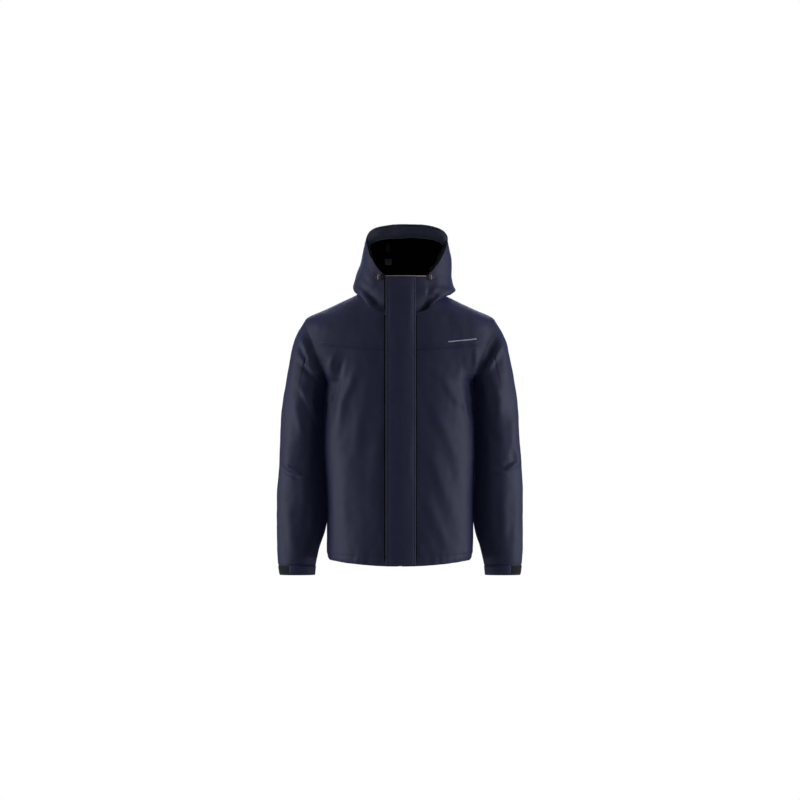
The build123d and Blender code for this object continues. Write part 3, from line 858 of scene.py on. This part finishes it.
def make_sleeves():
    for side, sign in (("left", 1), ("right", -1)):
        grid = SURFACES[f"sleeve_{side}"]
        normal = closed_normals(grid)
        SURFACES[f"sleeve_{side}"] = (grid, normal)

        def bend_sleeve(piece):
            bend_at_armhole(piece)

        piece = sheet_from(f"sleeve_{side}_cloth", grid, normal, SHELL_THICK, closed=True)
        sleeve_nodes = [f"top_sleeve_{side}", f"under_sleeve_{side}"]
        finish_piece(piece, "shell_cloth", sleeve_nodes, bend_sleeve)
        split = int(len(grid) * LINING_SHARE)
        lined(
            (f"sleeve_lining_{side}_cloth", f"cuff_facing_{side}_cloth"),
            grid,
            normal,
            (slice(split + 1), slice(split, None)),
            ("lining_mesh", "facing_cloth"),
            (f"sleeve_lining_{side}", f"cuff_facing_{side}"),
            bend_sleeve,
            closed=True,
        )


def bend_at_armhole(piece):
    """Bakes the piece's placement into its mesh; the sleeve is not bent at the armhole."""
    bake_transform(piece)


# ---------------------------------------------------------------- hood and collar
# height, half width, front, back, middle (x), squareness of the front half
HOOD_ROWS = [
    (-72, 96, -119.0, 80, 0, 2.2),
    (-40, 103, -117.5, 84, 0, 2.2),
    (-22, 119, -117.0, 88, 5, 2.2),
    (-13, 133, -116.5, 93, 10.5, 2.2),
    (-4, 138, -116.0, 98, 12, 2.2),
    (8, 134.5, -115.5, 102, 9.5, 2.2),
    (32, 128.5, -114.0, 109, 10.5, 2.3),
    (76, 120.5, -111.0, 124, 16.5, 3.0),
    (119, 112, -111.0, 122, 17.5, 4.4),
    (146, 104, -114.0, 100, 19, 5.0),
    (157.5, 92, -113.0, 76, 19, 4.6),
    (165, 70, -109.0, 50, 19, 3.6),
    (168.5, 44, -100.0, 20, 19, 2.6),
    (170, 6, -60.0, -40, 19, 2.2),
]
HOOD_CORE = np.array([8.0, -12.0, -8.0])
# the opening's edge in the front view, from the neck seam up, over the brim and down again
FACE_EDGE = [(-36, -71), (-36, -42), (-36, -22), (-36, -12), (-36, -2), (-36, 14), (-36, 31)]
FACE_EDGE += [(-47, 39), (-65, 60), (-78, 83), (-84, 108)]
FACE_EDGE += [(-87, 131), (-84, 147), (-68, 159.5), (-35, 166.5), (19, 169.6), (74, 167)]
FACE_EDGE += [(106, 158.5), (121, 146), (125.5, 127), (119, 100), (107, 74), (90, 52), (76, 36)]
FACE_EDGE += [(70, 31), (69.2, 14), (68.7, -2), (68.4, -12), (68, -22), (67.2, -42), (66, -67)]
HOOD_HOOPS = 96
HOOD_ACROSS = 236
CROWN_SEAMS = (-19, 57)
HOOD_FOLDS = [
    (((-128, 6), (-104, -12), (-80, -38), (-58, -55)), 5.0, 9, 0.25),
    (((-98, -2), (-72, -30), (-52, -52)), -3.0, 9, 0.0),
    (((152, -4), (126, -10), (104, -18), (88, -46)), 6.5, 9, 0.3),
    (((140, -24), (118, -32), (98, -54)), -6.0, 8, 0.0),
    (((100, 40), (96, 10), (82, -22)), 2.2, 10, 0.4),
    (((-106, 70), (-92, 34), (-70, 2)), 2.0, 10, 0.4),
    (((-114, 30), (-96, 8), (-70, -10)), 2.4, 10, 0.4),
    (((128, 110), (124, 60), (112, 26)), 2.0, 12, 0.4),
    (((-90, 112), (-96, 90), (-92, 60)), -2.0, 8, 0.2),
]


def hood_inside(points):
    sections = smooth_through(HOOD_ROWS, points[..., 2])
    half, front, back, middle, square = np.moveaxis(sections, -1, 0)
    centre, depth = (front + back) / 2, (back - front) / 2
    power = np.where(points[..., 1] < centre, square, 2.2)
    x = np.abs(points[..., 0] - middle) / half
    y = np.abs(points[..., 1] - centre) / depth
    return (x**power + y**power < 1) & (points[..., 2] < HOOD_ROWS[-1][0])


def on_hood(points):
    """Moves points along their rays from the hood's core onto its form."""
    rays = points - HOOD_CORE
    rays = rays / np.maximum(np.linalg.norm(rays, axis=-1, keepdims=True), 1e-9)
    low, high = np.zeros(rays.shape[:-1]), np.full(rays.shape[:-1], 400.0)
    for _ in range(22):
        mid = (low + high) / 2
        inside = hood_inside(HOOD_CORE + rays * mid[..., None])
        low, high = np.where(inside, mid, low), np.where(inside, high, mid)
    return HOOD_CORE + rays * low[..., None]


def front_of_hood(x, z):
    """Point of the hood form's front half under a place in the front view."""
    half, front, back, middle, square = smooth_through(HOOD_ROWS, z)
    share = min(abs(x - middle) / half, 0.985)
    depth = (back - front) / 2
    return (x, (front + back) / 2 - depth * (1 - share**square) ** (1 / square), z)


def resample(points, count):
    points = np.asarray(points, float)
    run = np.concatenate([[0], np.cumsum(np.linalg.norm(np.diff(points, axis=0), axis=1))])
    where = np.linspace(0, run[-1], count)
    return np.stack([np.interp(where, run, points[:, k]) for k in range(3)], axis=-1)


def rounded(points, passes=3):
    """Rounds a chain of points by cutting its corners."""
    points = np.asarray(points, float)
    for _ in range(passes):
        near = 0.75 * points[:-1] + 0.25 * points[1:]
        far = 0.25 * points[:-1] + 0.75 * points[1:]
        middle = np.stack([near, far], axis=1).reshape(-1, points.shape[1])
        points = np.vstack([points[:1], middle, points[-1:]])
    return points


def neck_line(sign):
    """The neck seam of one side as a line from the front to the nape, just over the body."""
    line = []
    for z, turn in NECK_SEAM:
        spot = body_point(math.radians(turn), z, sign)
        out = np.array([spot[0], spot[1] + 12, 0.0])
        line.append(spot + out / np.linalg.norm(out) * 2.5 - [0, 0, 3.0])
    return rounded(line, 2)


def hood_grid():
    face = rounded([front_of_hood(x, z) for x, z in FACE_EDGE])
    face = resample(face, HOOD_ACROSS)
    rings = []
    for sign, start in ((-1, face[0]), (1, face[-1])):
        line = neck_line(sign)
        line = line[np.abs(line[:, 0]) >= abs(start[0]) * (line[:, 1] < 0)]
        line = np.vstack([[start], line[line[:, 1] < 92.0]])
        rings.append(resample(line, HOOD_HOOPS))
    nape_ends = rings[0][-1], rings[1][-1]
    s = np.linspace(0, 1, HOOD_ACROSS)[:, None]
    nape = nape_ends[0] * (1 - s) + nape_ends[1] * s
    nape[:, 1] += 4.0 * np.sin(np.pi * s[:, 0])
    t = np.linspace(0, 1, HOOD_HOOPS)[:, None, None]
    ring_mix = rings[0][:, None] * (1 - s) + rings[1][:, None] * s
    corners = ring_mix[0] * (1 - t) + ring_mix[-1] * t
    coons = face[None] * (1 - t) + nape[None] * t + ring_mix - corners
    grid = on_hood(coons)
    for c in range(HOOD_ACROSS):
        grid[:, c] = resample(grid[:, c], HOOD_HOOPS)
    reach = 14.0
    run = np.linalg.norm(np.diff(grid, axis=0), axis=2)
    from_face = np.concatenate([np.zeros((1, HOOD_ACROSS)), np.cumsum(run, axis=0)])
    from_nape = from_face[-1:] - from_face
    run = np.linalg.norm(np.diff(grid, axis=1), axis=2)
    from_right = np.concatenate([np.zeros((HOOD_HOOPS, 1)), np.cumsum(run, axis=1)], axis=1)
    from_left = from_right[:, -1:] - from_right
    pulls = (
        (from_right, (rings[0] - grid[:, 0])[:, None]),
        (from_left, (rings[1] - grid[:, -1])[:, None]),
        (from_face, (face - grid[0])[None]),
        (from_nape, (nape - grid[-1])[None]),
    )
    for gap, pull in pulls:
        grid = grid + np.exp(-((gap / reach) ** 2))[..., None] * pull * 0.999
    # below the chin the cloth leaves the collar's front in a straight line
    straight = 14
    low = ease((60 - grid[0, :, 2]) / 25)[:, None]
    for r in range(1, straight):
        share = r / straight
        line = grid[0] * (1 - share) + grid[straight] * share
        grid[r] += (line - grid[r]) * low * (1 - ease(share))
    return grid


def joined_sheets(name, grids, thick, outward, inset=0.0):
    """Grids that share edges, welded into one cloth of a thickness."""
    build = bmesh.new()
    for grid in grids:
        rows, cols = grid.shape[:2]
        spots = [[build.verts.new(Vector(p) * MM) for p in row] for row in grid]
        for r in range(rows - 1):
            for c in range(cols - 1):
                quad = (spots[r][c], spots[r][c + 1], spots[r + 1][c + 1], spots[r + 1][c])
                build.faces.new(quad)
    bmesh.ops.remove_doubles(build, verts=build.verts, dist=0.00025)
    bmesh.ops.recalc_face_normals(build, faces=build.faces)
    build.faces.ensure_lookup_table()
    probe = max(build.faces, key=lambda f: f.calc_center_median() @ Vector(outward))
    if probe.normal @ Vector(outward) < 0:
        bmesh.ops.reverse_faces(build, faces=build.faces)
    build.normal_update()
    for spot in build.verts:
        spot.co -= spot.normal * inset * MM
    mesh = bpy.data.meshes.new(name)
    build.to_mesh(mesh)
    build.free()
    piece = placed(name, mesh)
    piece.data.polygons.foreach_set("use_smooth", [True] * len(mesh.polygons))
    solid = piece.modifiers.new("thickness", "SOLIDIFY")
    solid.thickness = thick * MM
    solid.offset = -1
    settle(piece)
    return piece


def chin_strips(grid, pushed):
    """Front of the collar on both sides of the zip, welded to the hood's own edge."""
    strips = []
    middle = HOOD_ACROSS // 2
    for half, shift, inner in (
        (grid[0, :middle], pushed[0, :middle], -ZIP_HALF_GAP),
        (grid[0, middle:][::-1], pushed[0, middle:][::-1], ZIP_HALF_GAP),
    ):
        rising = [k for k, p in enumerate(half) if p[2] <= 33 and abs(p[0]) < 72]
        strip = []
        for k in rising:
            p = half[k]
            row = []
            for share in np.linspace(0, 1, 16):
                x = p[0] + (inner - p[0]) * share
                z = p[2] + (0 if p[2] < 20 else (CHIN_Z - 1 - p[2])) * share * 0.6
                q = np.array(front_of_hood(x, z))
                q = p if share == 0 else q + (p - front_of_hood(p[0], p[2])) * (1 - share)
                row.append(q + shift[k] * (1 - share) ** 1.5)
            strip.append(row)
        strips.append(np.array(strip))
    return strips


def grid_run(grid):
    """Distance of each point from the first row, measured down its column."""
    step = np.linalg.norm(np.diff(grid, axis=0), axis=2)
    return np.concatenate([np.zeros((1, grid.shape[1])), np.cumsum(step, axis=0)])


def make_hood():
    grid = hood_grid()
    normal = normals_of(grid, HOOD_CORE[:2])
    facing = ease((0.2 - normal[..., 1]) / 0.5)
    raised = fold_field(grid, HOOD_FOLDS) * facing
    raised += ripple(grid, 48, 2.6, 12.7) + ripple(grid, 18, 0.7, 2.2)
    raised += 2.0 * fold_field(grid, [(((19, 170), (19, 60)), -0.5, 30, 0)]) * (1 - facing)
    for seam in CROWN_SEAMS:
        crown = ease((grid[..., 2] - 60) / 50) + ease(grid[..., 1] / 60)
        raised -= 0.9 * np.exp(-(((grid[..., 0] - seam) / 3) ** 2)) * np.minimum(crown, 1)
    # the fade at the opening's edge stops where the collar's front goes on beside it
    hold = edge_hold(grid, rows=False)
    from_face = grid_run(grid)
    opening = grid[0, :, 2] > 34
    hold *= np.where(opening[None], ease(from_face / EDGE_FADE), 1.0)
    hold *= ease((from_face[-1:] - from_face) / EDGE_FADE)
    pushed = normal * (raised * hold)[..., None]
    strips = chin_strips(grid, pushed)
    grid = grid + pushed
    SURFACES["hood"] = (grid, normals_of(grid, HOOD_CORE[:2]))
    hood = joined_sheets("hood_cloth", [grid] + strips, SHELL_THICK, (0, 1, 0))
    hood_nodes = ["hood_side_left", "hood_side_right", "hood_centre", "collar"]
    finish_piece(hood, "shell_cloth", hood_nodes, bend_hood)

    # the lining hangs a little clear of the crown
    depth = grid_run(grid)
    hang = 30 * ease(depth / 40) * (1 - ease((depth - 90) / 120)) * ease((grid[..., 2] - 122) / 30)
    hung = grid - hang[..., None] * [0, 0, 1]
    hung[0, opening] = 0.25 * hung[0, opening] + 0.75 * hung[1, opening]
    lining = joined_sheets(
        "hood_lining_cloth", [hung] + strips, LINING_THICK, (0, 1, 0), inset=3.0
    )
    finish_piece(lining, "lining_mesh", ["hood_lining", "collar_lining"], bend_hood)

    columns = [c for c in range(HOOD_ACROSS) if grid[0, c, 2] > 122]
    rows = int(np.searchsorted(depth[:, HOOD_ACROSS // 2], 40))
    cut = np.ix_(range(rows), columns)
    normal = normals_of(hung, HOOD_CORE[:2])[cut]
    band = hung[cut] - normal * (2.4 + 3.0 * ease(depth[cut] / 8))[..., None]
    SURFACES["brim"] = (band, normal)
    brim = sheet_from("brim_facing_cloth", band, normal, LINING_THICK)
    finish_piece(brim, "facing_cloth", ["hood_brim_facing"], bend_hood)


def make_labels():
    """Blank size label and the small tab above it, sewn inside the back of the hood."""
    for name, box_x, box_z in (
        ("hood_label", (-41, -22), (67, 84)),
        ("hood_tab", (-38, -28), (104, 126)),
    ):
        laid_piece(
            f"{name}_cloth",
            "hood_lining_cloth",
            box_x,
            box_z,
            0.9,
            0.5,
            "label_cloth",
            [name],
            bend_hood,
            towards=-1,
        )


def make_chest_bar():
    laid_piece(
        "chest_bar",
        "front_left_cloth",
        (129, 204),
        (-144.5, -141.5),
        0.6,
        0.4,
        "reflective",
        ["chest_reflector"],
        "torso",
        tilt=0.1,
    )


def bend_hood(piece):
    """Bakes the piece's placement into its mesh; the hood is not bent where it meets the collar.
    """
    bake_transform(piece)


# ---------------------------------------------------------------- storm flap
def flap_depth(x):
    """How far the flap's inner face stands in front of the front line, from its arched section."""
    share = (x - FLAP_LOW[0]) / (FLAP_HIGH[0] - FLAP_LOW[0])
    return 1.3 - 2.9 * share**3 + 4 * 4.6 * share * (1 - share)


FLAP_TOPSTITCH = 6.0  # in from the free edge
FLAP_SEAM = 4.0  # in from the sewn edge
FLAP_FOLDS = [
    (((-30, 20), (-26, -40), (-31, -120)), 0.9, 9, 0.3),
    (((22, 10), (26, -50), (18, -130)), 1.0, 10, 0.3),
    (((10, -240), (-6, -330), (4, -430)), 0.8, 12, 0.4),
    (((28, -380), (22, -460), (30, -540)), 0.8, 9, 0.4),
]


def make_flap():
    xs = np.linspace(FLAP_LOW[0], FLAP_HIGH[0], 40)
    zs = np.linspace(FLAP_LOW[2] - 1, CHIN_Z, 300)
    grid = np.array([[(x, front_y(z) - flap_depth(x) - 2.0, z) for x in xs] for z in zs])
    normal = np.zeros_like(grid)
    normal[..., 1] = -1
    raised = ripple(grid, 70, 1.4, 6.1, (1, 1, 0.35)) + ripple(grid, 26, 0.5, 8.8)
    raised += fold_field(grid, FLAP_FOLDS)
    raised *= ease((FLAP_HIGH[0] - grid[..., 0]) / 16) * 0.9 + 0.1
    free, sewn = FLAP_LOW[0], FLAP_HIGH[0]
    for line, deep in ((free + FLAP_TOPSTITCH, 0.7), (sewn - FLAP_SEAM, 0.8)):
        raised -= deep * np.exp(-(((grid[..., 0] - line) / 1.8) ** 2))
    grid[..., 1] -= np.maximum(raised, -1.3)
    normal = normals_of(grid, (0, 0))
    SURFACES["flap"] = (grid, normal)
    piece = sheet_from("storm_flap_cloth", grid, normal, 1.8)
    finish_piece(piece, "shell_cloth", ["storm_flap"], "storm_flap")
    # painted shadow: near-black strips beside the free edge and along the sewn edge stand in for
    # the shade in the gaps under the flap's edges
    for name, target, box_x, box_z, rides in (
        ("underlap", "front_right_cloth", (free - 4.6, free + 2), (-728, -72), "torso"),
        ("underlap_collar", "hood_cloth", (free - 4.6, free + 2), (-58, 29), bend_hood),
        ("seam_shade", "front_left_cloth", (sewn - 1, sewn + 2.6), (-728, -72), "torso"),
    ):
        laid_piece(f"flap_{name}", target, box_x, box_z, 0.4, 0.4, "lining_mesh", [], rides)


# ---------------------------------------------------------------- small pieces laid on the cloth
CAST_FROM = -0.4


def cast_grid(target, xs, zs, lift, towards=1):
    """Points over a cloth piece, cast along y and lifted off it.

    The casts start ahead of the jacket, or at its middle where towards is -1.
    """
    tree = BVHTree.FromPolygons(
        [v.co for v in target.data.vertices], [p.vertices for p in target.data.polygons]
    )
    start_y = CAST_FROM if towards > 0 else 0.0
    rows = []
    for z in zs:
        row = []
        for x in xs:
            start = Vector((x * MM, start_y, z * MM))
            hit = tree.ray_cast(start, Vector((0, 1, 0)))[0]
            row.append(np.array(hit or start) / MM)
        rows.append(row)
    grid = np.array(rows)
    normal = normals_of(grid, (0, 0) if towards > 0 else (0, 400))
    return grid + normal * lift, normal


def laid_piece(name, target, box_x, box_z, lift, thick, slot, nodes, rides, towards=1, tilt=0.0):
    """Thin strip laid over a cloth piece, between two x and two z; tilt is its rise along x."""
    xs = np.linspace(*box_x, max(6, int(abs(box_x[1] - box_x[0]) / 2)))
    zs = np.linspace(*box_z, max(5, int(abs(box_z[1] - box_z[0]) / 2)))
    grid, normal = cast_grid(bpy.data.objects[target], xs, zs, lift, towards)
    grid[..., 2] += tilt * (grid[..., 0] - box_x[0])
    finish_piece(sheet_from(name, grid, normal, thick), slot, nodes, rides)


def make_cuffs():
    for side, sign in (("left", 1), ("right", -1)):
        grid, normal = SURFACES[f"sleeve_{side}"]
        rows = [r for r in range(len(grid)) if -764.5 < grid[r, :, 2].mean() < -740.5]
        middle = grid[rows[len(rows) // 2]]
        outward = sign * middle[:, 0]
        outer = np.nonzero(outward > 277)[0].tolist()
        tab = np.nonzero((middle[:, 1] < -22) & (outward > 231) & (outward < 297))[0].tolist()
        for label, columns, lift, thick, slot, body in (
            ("cuff_loop_patch", outer, 0.9, 0.8, "hook_loop", "sleeve"),
            ("cuff_tab", tab, 2.9, 1.3, "shell_cloth", "cuff_tab"),
        ):
            gaps = [k for k in range(1, len(columns)) if columns[k] - columns[k - 1] > 1]
            if gaps:
                columns = columns[gaps[0] :] + columns[: gaps[0]]
            cut = np.ix_(rows, columns)
            spots = grid[cut] + normal[cut] * lift
            piece = sheet_from(f"{label}_{side}_cloth", spots, normal[cut], thick)
            finish_piece(piece, slot, [f"{label}_{side}"], f"{body}_{side}")


# ---------------------------------------------------------------- binding tape and drawcords
def tape_along(name, line, deep, tall, nodes, rides):
    """Narrow folded tape with rounded corners over an edge; the line runs along its middle."""
    line = np.asarray(line, float)
    turns = np.linspace(0, 2 * np.pi, 10, endpoint=False)
    along = np.gradient(line, axis=0)
    out = np.cross(along, [0, 0, 1])
    out /= np.linalg.norm(out, axis=1, keepdims=True)
    c, s = np.cos(turns), np.sin(turns)
    section_y = deep / 2 * np.sign(c) * np.abs(c) ** 0.6
    section_z = tall / 2 * np.sign(s) * np.abs(s) ** 0.6
    spots = line[:, None] + section_y[None, :, None] * out[:, None]
    spots = spots + section_z[None, :, None] * np.array([0, 0, 1.0])
    count = len(turns)
    faces = []
    for r in range(len(line) - 1):
        for k in range(count):
            j = (k + 1) % count
            faces.append([r * count + k, (r + 1) * count + k, (r + 1) * count + j, r * count + j])
    faces.append(list(range(count)))
    faces.append([(len(line) - 1) * count + k for k in range(count)][::-1])
    piece = mesh_from(name, spots.reshape(-1, 3), faces)
    build = bmesh.new()
    build.from_mesh(piece.data)
    bmesh.ops.recalc_face_normals(build, faces=build.faces)
    build.to_mesh(piece.data)
    build.free()
    finish_piece(piece, "binding_tape", nodes, rides)


def make_binding():
    for side, ends in (("right", (-34, -ZIP_HALF_GAP)), ("left", (ZIP_HALF_GAP, 69))):
        line = [np.array(front_of_hood(x, CHIN_Z)) for x in np.linspace(*ends, 24)]
        tape_along(f"chin_tape_{side}", line, 3.2, 3.2, ["chin_binding"], bend_hood)
    top = SURFACES["flap"][0][-1] + [0, 1.0, 0.4]
    tape_along("flap_tape", top, 2.9, 2.0, [], "storm_flap")


CORD_ROUTES = {
    "left": [
        (90.18, -91.46, 29),
        (90.74, -94.57, 29),
        (87.55, -98.13, 29),
        (74.38, -105.31, 29),
        (69.66, -106.05, 29),
        (66.87, -103.02, 29),
    ],
    "right": [
        (-66.58, -98.45, 29),
        (-66.84, -101.6, 29),
        (-63.33, -104.84, 29),
        (-49.54, -110.73, 29),
        (-44.77, -111.03, 29),
        (-42.28, -107.74, 29),
    ],
}
CORD_DIAMETER = 2.5


def make_cords():
    for side, route in CORD_ROUTES.items():
        curve = bpy.data.curves.new(f"drawcord_{side}_braid", "CURVE")
        curve.dimensions = "3D"
        spline = curve.splines.new("NURBS")
        spline.points.add(len(route) - 1)
        for spot, place in zip(spline.points, route):
            spot.co = (*(v * MM for v in place), 1)
        spline.order_u = 3
        spline.use_endpoint_u = True
        spline.resolution_u = 10
        curve.bevel_depth = CORD_DIAMETER / 2 * MM
        curve.bevel_resolution = 4
        curve.use_fill_caps = True
        piece = placed(f"drawcord_{side}_braid", curve)
        finish_piece(piece, "cord", [f"drawcord_{side}"], "torso")


# ---------------------------------------------------------------- stitching
def stitch_group():
    """Node group: short thread cylinders along every edge chain of a mesh."""
    group = bpy.data.node_groups.new("stitch_rows", "GeometryNodeTree")
    face = group.interface
    face.new_socket("Geometry", in_out="INPUT", socket_type="NodeSocketGeometry")
    sockets = {}
    for label, value in (("Pitch", 0.0032), ("Stitch length", 0.0023), ("Thread radius", 0.0003)):
        made = face.new_socket(label, in_out="INPUT", socket_type="NodeSocketFloat")
        made.default_value = value
        sockets[label] = made.identifier
    made = face.new_socket("Material", in_out="INPUT", socket_type="NodeSocketMaterial")
    sockets["Material"] = made.identifier
    face.new_socket("Geometry", in_out="OUTPUT", socket_type="NodeSocketGeometry")
    source = group.nodes.new("NodeGroupInput")
    chain = node(group, "GeometryNodeMeshToCurve", {}, {"Mesh": source.outputs["Geometry"]})
    dots = node(
        group,
        "GeometryNodeCurveToPoints",
        {"mode": "LENGTH"},
        {"Curve": chain.outputs["Curve"], "Length": source.outputs["Pitch"]},
    )
    thread = node(
        group,
        "GeometryNodeMeshCylinder",
        {"Vertices": 6},
        {"Radius": source.outputs["Thread radius"], "Depth": source.outputs["Stitch length"]},
    )
    placed = node(
        group,
        "GeometryNodeInstanceOnPoints",
        {},
        {
            "Points": dots.outputs["Points"],
            "Instance": thread.outputs["Mesh"],
            "Rotation": dots.outputs["Rotation"],
        },
    )
    real = node(group, "GeometryNodeRealizeInstances", {}, {0: placed.outputs["Instances"]})
    painted = node(
        group,
        "GeometryNodeSetMaterial",
        {},
        {"Geometry": real.outputs[0], "Material": source.outputs["Material"]},
    )
    out = group.nodes.new("NodeGroupOutput")
    group.links.new(painted.outputs["Geometry"], out.inputs["Geometry"])
    return group, sockets


STITCHES = stitch_group()


def sew(name, lines, rides):
    """Sews rows of stitches along lines of points."""
    spots, edges = [], []
    for line in lines:
        first = len(spots)
        spots.extend(np.asarray(line) * MM)
        edges.extend((first + k, first + k + 1) for k in range(len(line) - 1))
    mesh = bpy.data.meshes.new(name)
    mesh.from_pydata([tuple(p) for p in spots], edges, [])
    piece = placed(name, mesh)
    group, sockets = STITCHES
    maker = piece.modifiers.new("stitches", "NODES")
    maker.node_group = group
    maker[sockets["Material"]] = MATERIALS["thread"]
    settle(piece)
    attach(piece, rides)


THREAD_LIFT = 0.2


def row_line(name, row, columns=slice(None)):
    grid, normal = SURFACES[name]
    return grid[row, columns] + normal[row, columns] * THREAD_LIFT


def level_line(name, height):
    """Points of a surface where each column crosses a height that may change with x."""
    grid, normal = SURFACES[name]
    line = []
    for c in range(grid.shape[1]):
        over = grid[:, c, 2] - height(grid[:, c, 0])
        hits = np.nonzero((over[:-1] < 0) & (over[1:] >= 0))[0]
        if len(hits):
            r = hits[0]
            t = over[r] / (over[r] - over[r + 1])
            spot = grid[r, c] * (1 - t) + grid[r + 1, c] * t
            line.append(spot + normal[r, c] * THREAD_LIFT)
    return line


def make_stitching():
    grid, normal = SURFACES["flap"]
    for name, x in (
        ("flap_free_edge", FLAP_LOW[0] + 1.8),
        ("flap_topstitch", FLAP_LOW[0] + FLAP_TOPSTITCH),
        ("flap_seam", FLAP_HIGH[0] - FLAP_SEAM),
    ):
        c = int(np.argmin(np.abs(grid[0, :, 0] - x)))
        sew(f"{name}_stitches", [grid[:, c] + normal[:, c] * THREAD_LIFT], "storm_flap")
    hem = int(np.searchsorted(BODY_LEVELS, HEM_Z + HEM_FOLD))
    for name in ("front_left", "front_right", "back"):
        sew(f"{name}_hem_stitches", [row_line(name, hem)], "torso")
    for name in ("front_left", "front_right", "back"):
        base, rise = YOKES[name.split("_")[0]]
        rows = []
        for above in (2.5, 8.5):
            rows.append(level_line(name, lambda x: yoke_line(x, base + above, rise)))
        sew(f"{name}_yoke_stitches", rows, "torso")
    for side in ("left", "right"):
        grid = SURFACES[f"sleeve_{side}"][0]
        row = int(np.argmin(np.abs(grid[:, :, 2].mean(axis=1) - CUFF_STITCH_Z)))
        loop = row_line(f"sleeve_{side}", row)
        sew(f"cuff_{side}_stitches", [np.vstack([loop, loop[:1]])], f"sleeve_{side}")
    grid, normal = SURFACES["hood"]
    edge = [c for c in range(HOOD_ACROSS) if grid[0, c, 2] > 36]
    sew("hood_edge_stitches", [row_line("hood", 2, edge), row_line("hood", 5, edge)], bend_hood)
    rows = []
    for seam in CROWN_SEAMS:
        for beside in (-4.0, 4.0):
            line = []
            for r in range(2, HOOD_HOOPS - 1):
                c = int(np.argmin(np.abs(grid[r, 40:-40, 0] - seam - beside))) + 40
                if grid[r, c, 2] > 40:
                    line.append(grid[r, c] + normal[r, c] * THREAD_LIFT)
            rows.append(rounded(line, 1))
    sew("hood_seam_stitches", rows, bend_hood)
    inside, normal = SURFACES["brim"]
    rows = [inside[-k] - normal[-k] * 0.9 for k in (2, 4)]
    sew("brim_stitches", rows, bend_hood)


# ---------------------------------------------------------------- making
set_stage()
body_surfaces()
sleeve_surfaces()
soften_armholes()
make_body()
make_sleeves()
make_hood()
make_labels()
make_flap()
make_cuffs()
make_binding()
make_cords()
make_stitching()
make_chest_bar()
for name, cad_node in frame["nodes"].items():
    found = [s["material_slot"] for s in frame["record"]["subparts"] if s["node"] == name]
    if found:
        cad_node.data.materials.clear()
        cad_node.data.materials.append(MATERIALS[found[0]])
